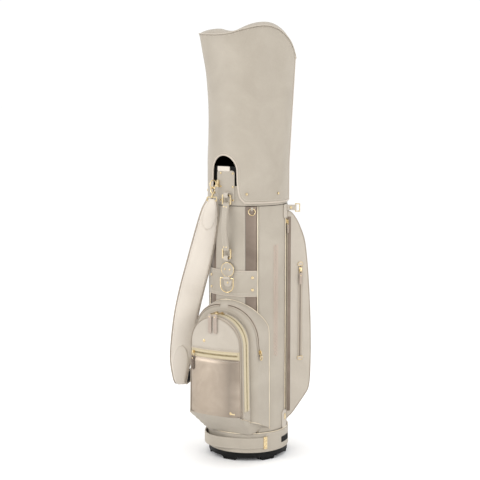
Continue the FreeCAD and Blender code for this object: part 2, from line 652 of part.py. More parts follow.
def make_long_zip():
    """Full-length zip in the metallic strip beside the side pocket."""
    surface = PANEL_OUT - 0.6
    half_angle = 1.7
    span = (SIDE_ZIP_BEARING - half_angle, SIDE_ZIP_BEARING + half_angle)
    body_zips.append(sector(surface + 0.1, surface + 1.5, *LONG_ZIP_Z, *span))
    slider, pull = wall_slider(26.0)
    for shape, node in ((slider, "long_zip_slider"), (pull, "long_zip_pull")):
        shape.translate(V(0, -surface - 1.5, LONG_ZIP_Z[1] - 9.0))
        keep(node, turned(shape, SIDE_ZIP_BEARING))
    zip_ends.append(strip_patch(COLLAR_Z[1] + 1.0, LONG_ZIP_Z[0] - 0.5, 87.0, 103.0))


# Front hardware ----------------------------------------------------------------------------------

HANDLE_Y = -126.0
HANDLE_TOP_Z = 776.0                 # axis of the upper ring's top bar
HANDLE_FOOT_Z = 596.0                # axis of the lower ring's bottom bar
RING_WIRE = 3.4
LOOP_HOLE = (11.0, 11.0)             # y, z size of the hole that a ring's bar has in its leather loop


def leather_loop(z, width, back_y):
    """Leather loop that stands off a surface and holds the bar of a ring, with room for it to swing."""
    hole_y, hole_z, leather = LOOP_HOLE[0] / 2, LOOP_HOLE[1] / 2, 2.2
    reach_y, reach_z = (HANDLE_Y - hole_y - leather, back_y), (z - hole_z - leather, z + hole_z + leather)
    outer = box((-width / 2, width / 2), reach_y, reach_z)
    hole = box((-width, width), (HANDLE_Y - hole_y, HANDLE_Y + hole_y), (z - hole_z, z + hole_z))
    front = [e for e in outer.Edges if e.BoundBox.YMax < HANDLE_Y and e.BoundBox.XLength > width - 0.1]
    return outer.makeFillet(2.0, front).cut(hole)


def make_handle():
    """Grab handle between two square rings, and the leather loops that hold the rings."""
    upper = leather_loop(HANDLE_TOP_Z, 14.0, -CUFF_R - 3.0).cut(body_cylinder(PATCH_OUT + 0.1))
    lower = leather_loop(HANDLE_FOOT_Z, 14.0, -PANEL_OUT + 2.0).cut(body_cylinder(PANEL_OUT + 0.1))
    keep("handle_loops", upper, lower)
    ring_size = 29.0
    offset = ring_size / 2 - RING_WIRE / 2
    top = square_ring(ring_size, ring_size, RING_WIRE, V(0, HANDLE_Y, HANDLE_TOP_Z - offset))
    bottom = square_ring(ring_size, ring_size, RING_WIRE, V(0, HANDLE_Y, HANDLE_FOOT_Z + offset))
    keep("handle_rings", top, bottom)
    bar_top = HANDLE_TOP_Z - 2 * offset
    bar_foot = HANDLE_FOOT_Z + 2 * offset
    half, bow, over_bar = 11.0, 13.0, 3.0
    middle = (bar_top + bar_foot) / 2
    top_z, foot_z = bar_top + over_bar, bar_foot - over_bar
    front_y, back_y = HANDLE_Y - 5.5, HANDLE_Y + 4.5
    outer = [V(0, front_y, top_z), V(0, front_y - bow + 0.5, middle), V(0, front_y, foot_z)]
    inner = [V(0, back_y, foot_z), V(0, back_y - bow, middle), V(0, back_y, top_z)]
    edges = [Part.Arc(*outer).toShape(), Part.makeLine(outer[2], inner[0]),
             Part.Arc(*inner).toShape(), Part.makeLine(inner[2], outer[0])]
    grip = Part.Face(Part.Wire(edges)).extrude(V(half, 0, 0))
    grip = grip.fuse(mirrored(grip)).removeSplitter()
    room = RING_WIRE / 2 + 0.05
    for z in (bar_top, bar_foot):
        grip = grip.cut(box((-30, 30), (HANDLE_Y - room, HANDLE_Y + room), (z - room, z + room)))
    keep("handle_grip", grip)


DRING_Y = -BAND_OUT - 8.0
DRING_Z = 538.0


def make_front_ring():
    """Riveted leather tab on the belt band, with its round keeper and hanging D-ring."""
    back = -BAND_OUT - 0.3
    tab = rounded_plate(28.0, 512.0, 560.0, 2.6, back, True, True)
    keeper = Part.makeCylinder(21.0, 2.2, V(0, back - 2.6, 562.0), V(0, -1, 0))
    loop = box((-11, 11), (DRING_Y - 4.6, back - 2.5), (DRING_Z - 4.6, DRING_Z + 4.6))
    hole = Part.makeCylinder(2.05, 30.0, V(-15, DRING_Y, DRING_Z), V(1, 0, 0))
    keep("ring_tab", fused([tab, keeper, loop]).cut(hole))
    hardware.extend([rivet(back - 4.9, x, 563.0, 2.6, 1.5) for x in (-8.0, 8.0)])
    hardware.append(rivet(back - 2.7, 0, 524.5, 2.8, 1.6))
    wire, half, drop = 1.65, 21.0, 20.0
    bar = rod(V(-half, DRING_Y, DRING_Z), V(half, DRING_Y, DRING_Z), wire)
    legs = [rod(V(x, DRING_Y, DRING_Z), V(x, DRING_Y, DRING_Z - drop), wire) for x in (-half, half)]
    bend = Part.makeTorus(half, wire, V(0, DRING_Y, DRING_Z - drop), V(0, 1, 0))
    bend = bend.common(box((-30, 30), (DRING_Y - 5, DRING_Y + 5), (DRING_Z - drop - 30, DRING_Z - drop)))
    knees = [Part.makeSphere(wire, V(x, DRING_Y, DRING_Z)) for x in (-half, half)]
    keep("d_ring", fused([bar, bend] + legs + knees))


TOWEL_BEARING = 34.0
TOWEL_R = PANEL_OUT + 3.6
TOWEL_TOP_Z = 738.0


def make_towel_ring():
    """Small round ring that hangs from a leather tab just under the hood."""
    wire, radius = 1.3, 9.5
    tab = box((-3.0, 3.0), (-TOWEL_R - 3.8, -PANEL_OUT + 0.8), (TOWEL_TOP_Z - 3.8, TOWEL_TOP_Z + 4.0))
    tab = tab.cut(Part.makeCylinder(wire + 0.9, 20.0, V(-10, -TOWEL_R, TOWEL_TOP_Z), V(1, 0, 0)))
    anchors.append(turned(tab.cut(body_cylinder(PANEL_OUT - 0.55)), TOWEL_BEARING))
    ring = Part.makeTorus(radius, wire, V(0, -TOWEL_R, TOWEL_TOP_Z - radius), V(0, 1, 0))
    keep("towel_ring", turned(ring, TOWEL_BEARING))


HOLDER_BEARING = 101.0
HOLDER_POINTS_TO = 118.0
HOLDER_Z = (725.5, 741.5)


def make_umbrella_holder():
    """Stiff leather strap that stands out over the side pocket, with a metal loop at its end."""
    root = at(HOLDER_BEARING, STRIP_PATCH_R[1] + 0.3, 0.0)
    length, thickness = 28.0, 3.0
    strap = box((-1.0, length), (-thickness / 2, thickness / 2), HOLDER_Z)
    strap.rotate(ORIGIN, UP, HOLDER_POINTS_TO - 90.0)
    strap.translate(root)
    strap = strap.cut(body_cylinder(STRIP_PATCH_R[1] + 0.05))
    pivot = V(length - 4.0, 0, 0)
    hole = Part.makeCylinder(1.9, 40.0, V(pivot.x, 0, HOLDER_Z[0] - 10.0))
    boss = Part.makeCylinder(3.6, HOLDER_Z[1] - HOLDER_Z[0], V(pivot.x, 0, HOLDER_Z[0]))
    frame_low, frame_high = HOLDER_Z[0] - 4.2, HOLDER_Z[1] + 4.2
    frame = box((pivot.x - 1.5, pivot.x + 13.5), (-1.5, 1.5), (frame_low, frame_high))
    frame = frame.cut(box((pivot.x - 10.0, pivot.x + 10.5), (-5, 5), (frame_low + 3.0, frame_high - 3.0)))
    post = Part.makeCylinder(1.5, frame_high - frame_low, V(pivot.x, 0, frame_low))
    loop = fused([frame, post])
    for shape in (hole, boss, loop):
        shape.rotate(ORIGIN, UP, HOLDER_POINTS_TO - 90.0)
        shape.translate(root)
    patch = strip_patch(LONG_ZIP_Z[1] + 0.6, BODY_TOP, 90.0, 103.0)
    keep("umbrella_strap", fused([strap, boss]).cut(hole), patch)
    keep("umbrella_loop", loop)


# Hood --------------------------------------------------------------------------------------------

HOOD_LONG_BEARING = 119.0            # the hood's top is widest along this bearing
HOOD_SECTIONS = (                    # height, half length, half depth, shift along the long way
    (HOOD_BOTTOM, 118.2, 118.2, 0.0),
    (860.0, 119.0, 117.5, 0.3),
    (950.0, 122.3, 114.5, 2.0),
    (1037.0, 126.0, 110.0, 3.6),
    (1123.0, 131.3, 104.5, 3.6),
    (1185.0, 136.5, 99.0, 1.5),
    (1238.0, 141.5, 93.5, -1.5),
    (1290.0, 146.0, 89.0, -4.0),
)
HOOD_PROFILE = (                     # along the long way, height of the saddle-shaped top
    (-155.0, 1240.0), (-122.0, 1237.0), (-88.0, 1235.5), (-52.0, 1239.0), (-12.0, 1250.0), (34.0, 1259.0),
    (66.0, 1257.5), (97.0, 1242.0), (121.0, 1214.0), (134.5, 1178.0), (146.0, 1120.0),
)
OPENING_BEARING = -8.0
OPENING = dict(half=41.5, crown=45.0, arch_z=842.0, foot_half=63.0)
HOOD_SNAPS = (27.0, 75.0, 135.0, 180.0, 225.0, 290.0)


def hood_loft(inset):
    wires = []
    for z, long_half, deep_half, shift in HOOD_SECTIONS:
        low = z - 5.0 if inset > 0.0 and z == HOOD_BOTTOM else z
        ellipse = Part.Ellipse(V(shift, 0, low), long_half - inset, deep_half - inset)
        if long_half <= deep_half:
            ellipse = Part.Circle(V(shift, 0, low), UP, long_half - inset)
        wires.append(Part.Wire(ellipse.toShape()))
    return Part.makeLoft(wires, True, False)


def above_hood_profile(drop):
    """Everything above the hood's saddle-shaped top, lowered by drop."""
    curve = Part.BSplineCurve()
    points = [V(x, -160, z - drop) for x, z in HOOD_PROFILE]
    curve.interpolate(points)
    wide, high = 220.0, 1400.0
    beyond = [V(wide, -160, points[-1].z), V(wide, -160, high), V(-wide, -160, high), V(-wide, -160, points[0].z)]
    lid = points[-1:] + beyond + points[:1]
    lines = [Part.makeLine(a, b) for a, b in zip(lid, lid[1:])]
    return Part.Face(Part.Wire([curve.toShape()] + lines)).extrude(V(0, 320, 0))


def opening_prism(grow, depth=90.0):
    """The arch that is cut out of the hood's lower front, flaring to its bottom edge."""
    half, crown, foot_half = OPENING["half"] + grow, OPENING["crown"] + grow, OPENING["foot_half"] + grow
    arch_z, hem, under = OPENING["arch_z"], HOOD_BOTTOM - 1.0, HOOD_BOTTOM - 12.0
    left, right, top = V(-half, 0, arch_z), V(half, 0, arch_z), V(0, 0, arch_z + crown)
    flare = Part.BSplineCurve()
    flare.interpolate([right, V(half + 2.0, 0, 800.0), V(half + 8.0, 0, 768.0), V(foot_half, 0, hem)])
    flare_left = flare.copy()
    flare_left.mirror(V(0, 0, 0), V(0, 0, 1))
    shoulders = [V(side * half * 0.72, 0, arch_z + crown * 0.70) for side in (-1, 1)]
    arch = Part.BSplineCurve()
    arch.interpolate([left, shoulders[0], top, shoulders[1], right])
    foot = [V(foot_half, 0, hem), V(foot_half, 0, under), V(-foot_half, 0, under), V(-foot_half, 0, hem)]
    lines = [Part.makeLine(a, b) for a, b in zip(foot, foot[1:])]
    wire = Part.Wire(Part.__sortEdges__([arch.toShape(), flare.toShape(), flare_left.toShape()] + lines))
    prism = Part.Face(wire).extrude(V(0, -80.0, 0))
    prism.translate(V(0, -depth + 10.0, 0))
    return turned(prism, OPENING_BEARING)


def make_hood():
    """Hood with its saddle-shaped lid and arched opening, the binding round the opening, and its snaps."""
    outer, inner = hood_loft(0.0), hood_loft(HOOD_WALL)
    for solid in (outer, inner):
        solid.rotate(ORIGIN, UP, HOOD_LONG_BEARING - 90.0)
    lid_cut, floor_cut = above_hood_profile(0.0), above_hood_profile(2.0)
    for solid in (lid_cut, floor_cut):
        solid.rotate(ORIGIN, UP, HOOD_LONG_BEARING - 90.0)
    hollow = inner.cut(floor_cut)
    closed = outer.cut(lid_cut)
    shell = closed.cut(hollow).cut(opening_prism(0.0))
    keep("hood_shell", shell)
    grown = hood_loft(-0.7)
    grown.rotate(ORIGIN, UP, HOOD_LONG_BEARING - 90.0)
    binding = grown.cut(inner).common(opening_prism(0.0).cut(opening_prism(-3.0)))
    keep("hood_binding", binding)
    snaps = []
    for bearing in HOOD_SNAPS:
        snaps.append(turned(rivet(-119.3, 0, 779.0, 3.6, 2.4), bearing))
    keep("hood_snaps", *snaps)


# Shoulder strap ----------------------------------------------------------------------------------

STRAP_BEARING = 29.0                 # the strap's broad face looks along this bearing
STRAP_TOP = V(-41.0, -133.0, 789.0)  # hook pin at the cuff
ANCHOR_BEARING = -97.0
STRAP_FOOT = at(ANCHOR_BEARING, PANEL_OUT + 13.0, 330.0)   # middle of the swivel on the body


def strap_point(across, out, z):
    """A point from its place across the broad face, how far out that face is, and its height."""
    a = math.radians(STRAP_BEARING)
    return V(across * math.cos(a) + out * math.sin(a), across * math.sin(a) - out * math.cos(a), z)


# Across, out, height, half width, half thickness
PAD_STATIONS = (
    (-103.5, 93.5, 764.0, 12.0, 4.2),
    (-105.5, 91.0, 749.0, 17.5, 4.2),
    (-109.0, 86.0, 730.0, 23.0, 5.0),
    (-116.0, 78.0, 692.0, 28.0, 6.5),
    (-129.0, 68.0, 632.0, 32.0, 7.5),
    (-145.0, 57.0, 566.0, 34.0, 7.5),
    (-164.0, 44.0, 494.0, 34.5, 7.5),
    (-181.0, 32.0, 418.0, 34.0, 7.5),
    (-192.0, 23.0, 344.0, 33.0, 7.5),
    (-199.5, 15.0, 280.0, 30.0, 7.0),
    (-202.0, 6.0, 232.0, 22.0, 6.0),
    (-201.0, -8.0, 205.0, 17.0, 4.5),
    (-196.0, -24.0, 197.0, 14.0, 3.5),
)
WEB_STATIONS = (
    (-194.0, -29.5, 197.5, 13.5, 1.7),
    (-180.0, -48.0, 208.0, 14.5, 1.7),
    (-160.0, -60.0, 232.0, 13.0, 1.7),
    (-138.0, -69.0, 264.0, 11.0, 1.7),
    (-118.0, -74.0, 293.0, 9.0, 1.7),
    (-107.5, -74.5, 309.0, 8.0, 2.6),
)


def strap_sections(stations):
    """Rounded-rectangle sections square to the path, their width kept level across the broad face."""
    points = [strap_point(*s[:3]) for s in stations]
    across = strap_point(1.0, 0.0, 0.0)
    ring = [(-1, -0.45), (-0.86, -1), (0.86, -1), (1, -0.45), (1, 0.45), (0.86, 1), (-0.86, 1), (-1, 0.45)]
    wires = []
    for k, station in enumerate(stations):
        before, after = points[max(k - 1, 0)], points[min(k + 1, len(points) - 1)]
        along = (after - before).normalize()
        wide = (across - along * across.dot(along)).normalize()
        thick = along.cross(wide)
        half_w, half_t = station[3], station[4]
        corners = [points[k] + wide * (half_w * u) + thick * (half_t * v) for u, v in ring]
        wires.append(Part.makePolygon(corners + corners[:1]))
    return wires


def make_strap():
    """Padded strap, its narrow return strap, its hook at the cuff and its ring on the body."""
    pad = Part.makeLoft(strap_sections(PAD_STATIONS), True, True)
    web = Part.makeLoft(strap_sections(WEB_STATIONS), True, True)
    keep("strap_pad", pad.cut(hook_eye(0.15)))
    keep("strap_return_web", web.cut(swivel_ring(0.15)))
    make_strap_hook()
    make_strap_anchor()


HOOK_BEARING = math.degrees(math.atan2(STRAP_TOP.x, -STRAP_TOP.y))
HOOK_R = 9.0                         # of the hook's bend
HOOK_WIRE = 1.9
GATE_ANGLES = (-50.0, 28.0)          # where the hook is open, from the sideways direction upwards
GATE_WIRE = 1.1
EYE_CENTRE = strap_point(-103.5, 94.5, 763.5)


def hook_point(angle, radius):
    """A point in the hook's own plane, before it is carried to the cuff."""
    a = math.radians(angle)
    return V(radius * math.cos(a), 0, radius * math.sin(a))


def make_strap_hook():
    """Snap hook: a square eye on the strap, a swivel stem, the hook and its sprung gate."""
    eye = hook_eye(0.0)
    stem = rod(EYE_CENTRE + V(0, 0, 5.5), STRAP_TOP - V(0, 0, HOOK_R), 2.4)
    hook = Part.makeTorus(HOOK_R, HOOK_WIRE, ORIGIN, V(0, 1, 0))
    mouth = [ORIGIN, hook_point(GATE_ANGLES[0] - 16.0, 30.0), hook_point(-10.0, 40.0),
             hook_point(GATE_ANGLES[1], 30.0)]
    wedge = Part.Face(Part.makePolygon(mouth + mouth[:1])).extrude(V(0, 20, 0))
    wedge.translate(V(0, -10, 0))
    hook = hook.cut(wedge)
    pivot, tip = hook_point(GATE_ANGLES[0], HOOK_R), hook_point(GATE_ANGLES[1] - 10.0, HOOK_R)
    cheeks = [Part.makeCylinder(3.0, 1.2, V(pivot.x, y, pivot.z), V(0, 1, 0)) for y in (-2.7, 1.5)]
    base = hook_point(GATE_ANGLES[0] - 29.0, HOOK_R)
    root = Part.makeCylinder(1.9, 5.4, V(base.x, -2.7, base.z), V(0, 1, 0))
    pin = Part.makeCylinder(0.7, 5.4, V(pivot.x, -2.7, pivot.z), V(0, 1, 0))
    gate = rod(pivot, tip, GATE_WIRE)
    gate = gate.fuse(Part.makeCylinder(1.9, 2.4, V(pivot.x, -1.2, pivot.z), V(0, 1, 0)))
    gate = gate.cut(Part.makeCylinder(1.05, 6.0, V(pivot.x, -3.0, pivot.z), V(0, 1, 0)))
    body = fused([hook, root, pin] + cheeks)
    for shape in (body, gate):
        shape.rotate(ORIGIN, UP, HOOK_BEARING)
        shape.translate(STRAP_TOP)
    keep("strap_hook", fused([eye, stem, body]))
    keep("strap_hook_gate", gate)


SWIVEL_AXIS = (STRAP_TOP - STRAP_FOOT).normalize()
SWIVEL = dict(pin=2.0, hole=2.5, head=3.9, reach=4.6, ring_w=22.0, ring_h=15.0, wire=3.0)


def hook_eye(grow):
    """Square eye at the top of the strap, its wire grown where it is used to cut a place for itself."""
    eye = square_ring(30.0 + 2 * grow, 14.0 + 2 * grow, 3.2 + 2 * grow, ORIGIN)
    eye.rotate(ORIGIN, UP, STRAP_BEARING)
    eye.translate(EYE_CENTRE)
    return eye


def on_swivel(shape):
    """Carries a shape built round the Z axis, its broad face to -Y, onto the strap's lower swivel."""
    shape.rotate(ORIGIN, UP, STRAP_BEARING)
    turn = FreeCAD.Rotation(UP, SWIVEL_AXIS)
    shape.rotate(ORIGIN, turn.Axis, math.degrees(turn.Angle))
    shape.translate(STRAP_FOOT)
    return shape


def swivel_ring(grow):
    """Square ring under the swivel pin, its wire grown where it is used to cut a place for itself."""
    width, height, wire = (SWIVEL[key] + 2 * grow for key in ("ring_w", "ring_h", "wire"))
    drop = SWIVEL["reach"] + SWIVEL["ring_h"] / 2
    return on_swivel(square_ring(width, height, wire, V(0, 0, -drop)))


def make_strap_anchor():
    """Ring on the cuff patch that the hook holds, and the tab and ring on the body for the lower end."""
    cuff_out = PATCH_OUT + 0.1
    ring_r = math.hypot(STRAP_TOP.x, STRAP_TOP.y)
    wire, bend = 1.7, 11.5
    drop = HOOK_R - HOOK_WIRE - 0.4 - wire          # the ring's lowest wire, above the hook's middle
    loop = Part.makeTorus(bend, wire, V(0, -ring_r + 1.0, STRAP_TOP.z + drop + bend), V(1, 0, 0))
    plate = box((-4.0, 4.0), (-cuff_out - 4.0, -cuff_out + 2.0), (STRAP_TOP.z + 8.0, STRAP_TOP.z + 28.0))
    plate = plate.cut(body_cylinder(cuff_out))
    post = loop.fuse(plate).removeSplitter().cut(body_cylinder(cuff_out))
    keep("cuff_strap_ring", turned(post, HOOK_BEARING))
    back = -PANEL_OUT - 0.1
    tab = box((-13, 13), (back - 2.4, back + 3.0), (308.0, 346.0))
    lug_y = -math.hypot(STRAP_FOOT.x, STRAP_FOOT.y)
    lug = box((-6, 6), (lug_y, back), (STRAP_FOOT.z - 2.8, STRAP_FOOT.z + 2.8))
    nose = Part.makeCylinder(6.0, 5.6, V(0, lug_y, STRAP_FOOT.z - 2.8))
    tab = turned(fused([tab, lug, nose]).cut(body_cylinder(PANEL_OUT + 0.1)), ANCHOR_BEARING)
    tab = tab.cut(seam_cord(-SIDE_EDGES[1], PIPING_WIRE + 0.15))
    hole = on_swivel(Part.makeCylinder(SWIVEL["hole"], 40.0, V(0, 0, -20.0)))
    anchors.append(tab.cut(hole))
    pin = Part.makeCylinder(SWIVEL["pin"], 2 * SWIVEL["reach"] + 1.0, V(0, 0, -SWIVEL["reach"] - 1.0))
    head = Part.makeCylinder(SWIVEL["head"], 2.2, V(0, 0, SWIVEL["reach"]))
    keep("strap_ring", fused([swivel_ring(0.0), on_swivel(pin), on_swivel(head)]))


def make_all():
    make_base()
    make_floor()
    make_collar()
    make_base_handle()
    make_body()
    make_panels()
    make_band()
    make_cuff()
    make_dividers()
    make_ball_pocket()
    make_upper_zip()
    make_face_zip()
    make_lower_zips()
    make_pocket_trim()
    make_side_pocket()
    make_long_zip()
    make_handle()
    make_front_ring()
    make_towel_ring()
    make_umbrella_holder()
    make_hood()
    make_strap()
    keep("body_hardware", *hardware)
    keep("anchor_tabs", *anchors)
    keep("zip_end_patches", *zip_ends)
    keep("body_zip_chains", *body_zips)


make_all()
os.makedirs("parts", exist_ok=True)
for node, shape in parts.items():
    shape.exportStep("parts/" + node + ".step")
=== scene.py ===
"""Golf staff bag with a rain hood: the looks, in Blender.

Metres, +Z up, origin on the ground under the middle of the bag, ball pocket towards -Y.
Bearings are degrees round the body from -Y towards +X.
"""

import math

import bmesh
import bpy
from mathutils import Matrix, Vector, noise
from mathutils.bvhtree import BVHTree


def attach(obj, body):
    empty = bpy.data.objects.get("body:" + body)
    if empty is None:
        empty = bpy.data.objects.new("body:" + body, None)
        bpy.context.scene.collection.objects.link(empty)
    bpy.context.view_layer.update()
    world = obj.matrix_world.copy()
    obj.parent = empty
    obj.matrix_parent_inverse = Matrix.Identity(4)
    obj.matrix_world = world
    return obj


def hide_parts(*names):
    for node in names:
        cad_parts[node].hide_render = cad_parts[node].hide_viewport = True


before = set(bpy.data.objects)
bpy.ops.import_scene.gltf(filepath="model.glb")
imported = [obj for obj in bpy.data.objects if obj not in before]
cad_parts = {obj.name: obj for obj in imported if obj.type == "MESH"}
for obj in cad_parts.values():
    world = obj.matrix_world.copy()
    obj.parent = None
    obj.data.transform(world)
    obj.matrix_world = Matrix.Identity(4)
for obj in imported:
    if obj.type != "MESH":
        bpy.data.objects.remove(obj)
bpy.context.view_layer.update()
scene = bpy.context.scene

# Sizes ---------------------------------------------------------------------------------------------

PANEL_OUT = 0.1152              # outside of the sewn panels
STRIP_OUT = PANEL_OUT - 0.0006   # outside of the metallic strips
BAND_IN, BAND_OUT = 0.1154, 0.1177
COLLAR = (0.1140, 0.1195)
COLLAR_Z = (0.025, 0.082)
PANEL_Z = (0.0825, 0.7440)
CUFF_COVER = (0.1122, 0.1144, 0.7455, 0.8000)
SEAM = 1.1                      # degrees that a panel stops short of its piping
STRIP_LAP = 0.3                 # degrees between a strip and the panel beside it
SEAM_SINK = 0.0011              # how far a panel's edge is pulled down into its seam
SIDE_EDGES = (42.5, 98.0)
YOKE_EDGE = 25.0
REAR_EDGE = 109.5
PIPING_R = 0.1154
PIPING_WIRE = 0.0017
SIDES = ((-1, "left"), (1, "right"))
VIEW_BEARING = 29.0

# Camera --------------------------------------------------------------------------------------------

CAMERA_AT = Vector((1.743, -3.144, 1.103))
CAMERA_AIM = Vector((-0.0210, -0.0116, 0.6335))
CAMERA_LENS = 92.7


def make_camera():
    data = bpy.data.cameras.new("camera")
    data.lens = CAMERA_LENS
    data.sensor_width = 36.0
    data.clip_end = 50.0
    camera = bpy.data.objects.new("camera", data)
    camera.location = CAMERA_AT
    camera.rotation_euler = (CAMERA_AIM - CAMERA_AT).to_track_quat("-Z", "Y").to_euler()
    scene.collection.objects.link(camera)
    scene.camera = camera


# Places --------------------------------------------------------------------------------------------


def at(bearing, radius, z):
    a = math.radians(bearing)
    return Vector((radius * math.sin(a), -radius * math.cos(a), z))


def upright_line(bearing, radius, low, high, steps):
    return [at(bearing, radius, z) for z in span(low, high, steps)]


def level_line(first, last, radius, z, steps):
    return [at(bearing, radius, z) for bearing in span(first, last, steps)]


def round_way(bearing):
    """The level direction round the body at a bearing."""
    a = math.radians(bearing)
    return Vector((math.cos(a), math.sin(a), 0))


def seen(across, towards, z):
    """A point from its place across the front view, its place towards the viewer, and its height."""
    a = math.radians(VIEW_BEARING)
    c, s = math.cos(a), math.sin(a)
    return Vector((across * c + towards * s, across * s - towards * c, z))


def lerp(a, b, t):
    return a + (b - a) * t


def span(low, high, steps):
    """Even steps from low to high, both included."""
    return [lerp(low, high, k / steps) for k in range(steps + 1)]


def full_turn(steps):
    """Angles at even steps round a circle."""
    return [2.0 * math.pi * k / steps for k in range(steps)]


def smoothstep(t):
    t = min(max(t, 0.0), 1.0)
    return t * t * (3.0 - 2.0 * t)


def wobble(p, scale, seed=0.0):
    """Smooth noise from -1 to 1 at a point."""
    return noise.noise(Vector((p.x * scale + seed, p.y * scale - seed, p.z * scale + 2.0 * seed)))


def curve_value(points, x):
    """A smooth value at x through (x, value...) points, by Catmull-Rom between neighbours."""
    if x <= points[0][0]:
        return list(points[0][1:])
    if x >= points[-1][0]:
        return list(points[-1][1:])
    k = max(i for i in range(len(points) - 1) if points[i][0] <= x)
    p1, p2 = points[k], points[k + 1]
    p0, p3 = points[max(k - 1, 0)], points[min(k + 2, len(points) - 1)]
    width = p2[0] - p1[0]
    t = (x - p1[0]) / width
    t2, t3 = t * t, t * t * t
    out = []
    for i in range(1, len(p1)):
        m1 = (p2[i] - p0[i]) / (p2[0] - p0[0]) * width
        m2 = (p3[i] - p1[i]) / (p3[0] - p1[0]) * width
        near = (2 * t3 - 3 * t2 + 1) * p1[i] + (t3 - 2 * t2 + t) * m1
        out.append(near + (3 * t2 - 2 * t3) * p2[i] + (t3 - t2) * m2)
    return out


# Materials -----------------------------------------------------------------------------------------


PEBBLES, PEBBLE_HEIGHT = 850.0, 0.00016     # grain of the leather: how fine, and how high in metres


class Shader:
    """A material and short ways to add nodes to it."""

    def __init__(self, name, roughness=0.5, metallic=0.0, base=(0.8, 0.8, 0.8)):
        self.material = bpy.data.materials.new(name)
        self.material.use_nodes = True
        self.tree = self.material.node_tree
        self.bsdf = self.tree.nodes["Principled BSDF"]
        self.bsdf.inputs["Base Color"].default_value = (*base, 1.0)
        self.bsdf.inputs["Roughness"].default_value = roughness
        self.bsdf.inputs["Metallic"].default_value = metallic
        self.coords = self.tree.nodes.new("ShaderNodeTexCoord").outputs["Object"]

    def node(self, kind, **values):
        made = self.tree.nodes.new(kind)
        for key, value in values.items():
            if hasattr(made, key):
                setattr(made, key, value)
            else:
                made.inputs[key.replace("_", " ")].default_value = value
        return made

    def link(self, a, b):
        self.tree.links.new(a, b)

    def noise(self, scale, detail=3.0, distortion=0.0, stretch=None):
        made = self.node("ShaderNodeTexNoise", Scale=scale, Detail=detail, Distortion=distortion)
        self.link(self.stretched(stretch), made.inputs["Vector"])
        return made.outputs["Fac"]

    def cells(self, scale, feature="F1"):
        made = self.node("ShaderNodeTexVoronoi", feature=feature, Scale=scale)
        self.link(self.coords, made.inputs["Vector"])
        return made.outputs["Distance"]

    def waves(self, scale, direction="Z", distortion=0.0):
        made = self.node("ShaderNodeTexWave", bands_direction=direction, Scale=scale, Distortion=distortion)
        self.link(self.coords, made.inputs["Vector"])
        return made.outputs["Fac"]

    def along(self, axis):
        made = self.node("ShaderNodeSeparateXYZ")
        self.link(self.coords, made.inputs["Vector"])
        return made.outputs[axis]

    def stretched(self, stretch):
        if stretch is None:
            return self.coords
        made = self.node("ShaderNodeMapping")
        made.inputs["Scale"].default_value = stretch
        self.link(self.coords, made.inputs["Vector"])
        return made.outputs["Vector"]

    def ramp(self, value, *stops):
        """Colours or greys at positions, as (position, (r, g, b)) pairs."""
        made = self.tree.nodes.new("ShaderNodeValToRGB")
        elements = made.color_ramp.elements
        while len(elements) < len(stops):
            elements.new(0.5)
        for element, (position, colour) in zip(elements, stops):
            element.position = position
            element.color = (*colour, 1.0)
        self.link(value, made.inputs["Fac"])
        return made.outputs["Color"]

    def grey(self, value, low, high, start=0.0, end=1.0):
        made = self.node("ShaderNodeMapRange")
        made.inputs["From Min"].default_value = start
        made.inputs["From Max"].default_value = end
        made.inputs["To Min"].default_value = low
        made.inputs["To Max"].default_value = high
        self.link(value, made.inputs["Value"])
        return made.outputs["Result"]

    def math(self, operation, a, b):
        made = self.node("ShaderNodeMath", operation=operation)
        for socket, value in zip(made.inputs, (a, b)):
            if isinstance(value, (int, float)):
                socket.default_value = value
            else:
                self.link(value, socket)
        return made.outputs["Value"]

    def mix(self, factor, a, b, blend="MIX"):
        made = self.tree.nodes.new("ShaderNodeMix")
        made.data_type = "RGBA"
        made.blend_type = blend
        for socket, value in zip((made.inputs[0], made.inputs[6], made.inputs[7]), (factor, a, b)):
            if isinstance(value, (int, float)):
                socket.default_value = value
            elif isinstance(value, tuple):
                socket.default_value = (*value, 1.0)
            else:
                self.link(value, socket)
        return made.outputs[2]

    def bump(self, height, distance, strength=1.0, under=None):
        made = self.node("ShaderNodeBump", Strength=strength, Distance=distance)
        self.link(height, made.inputs["Height"])
        if under is not None:
            self.link(under, made.inputs["Normal"])
        return made.outputs["Normal"]

    def set(self, socket, value):
        self.link(value, self.bsdf.inputs[socket])


def leather(name, light, dark, rough=(0.40, 0.56), crease=0.0004, sheen=0.06):
    """Grained synthetic leather: pebbles with darker valleys, soft creases and uneven gloss."""
    s = Shader(name)
    grain = s.cells(PEBBLES)
    fine = s.noise(PEBBLES * 2.4, 2.0)
    broad = s.noise(9.0, 3.0, 0.4)
    patch = s.noise(45.0, 4.0, 0.8)
    tone = s.ramp(broad, (0.36, dark), (0.64, light))
    valley = s.grey(grain, 0.0, 0.22, 0.30, 0.75)
    tone = s.mix(valley, tone, tuple(c * 0.72 for c in dark))
    tone = s.mix(s.grey(patch, 0.0, 0.16, 0.5, 0.75), tone, tuple(min(c * 1.06, 1.0) for c in light))
    s.set("Base Color", tone)
    gloss = s.grey(patch, rough[0], rough[1], 0.3, 0.7)
    s.set("Roughness", s.math("ADD", gloss, s.grey(grain, 0.0, 0.10, 0.2, 0.8)))
    creases = s.bump(s.noise(26.0, 5.0, 1.6), crease, 0.6)
    height = s.math("ADD", s.math("MULTIPLY", grain, -1.0), s.math("MULTIPLY", fine, 0.25))
    s.set("Normal", s.bump(height, PEBBLE_HEIGHT, 0.8, creases))
    s.bsdf.inputs["Sheen Weight"].default_value = sheen
    s.bsdf.inputs["Specular IOR Level"].default_value = 0.42
    return s.material


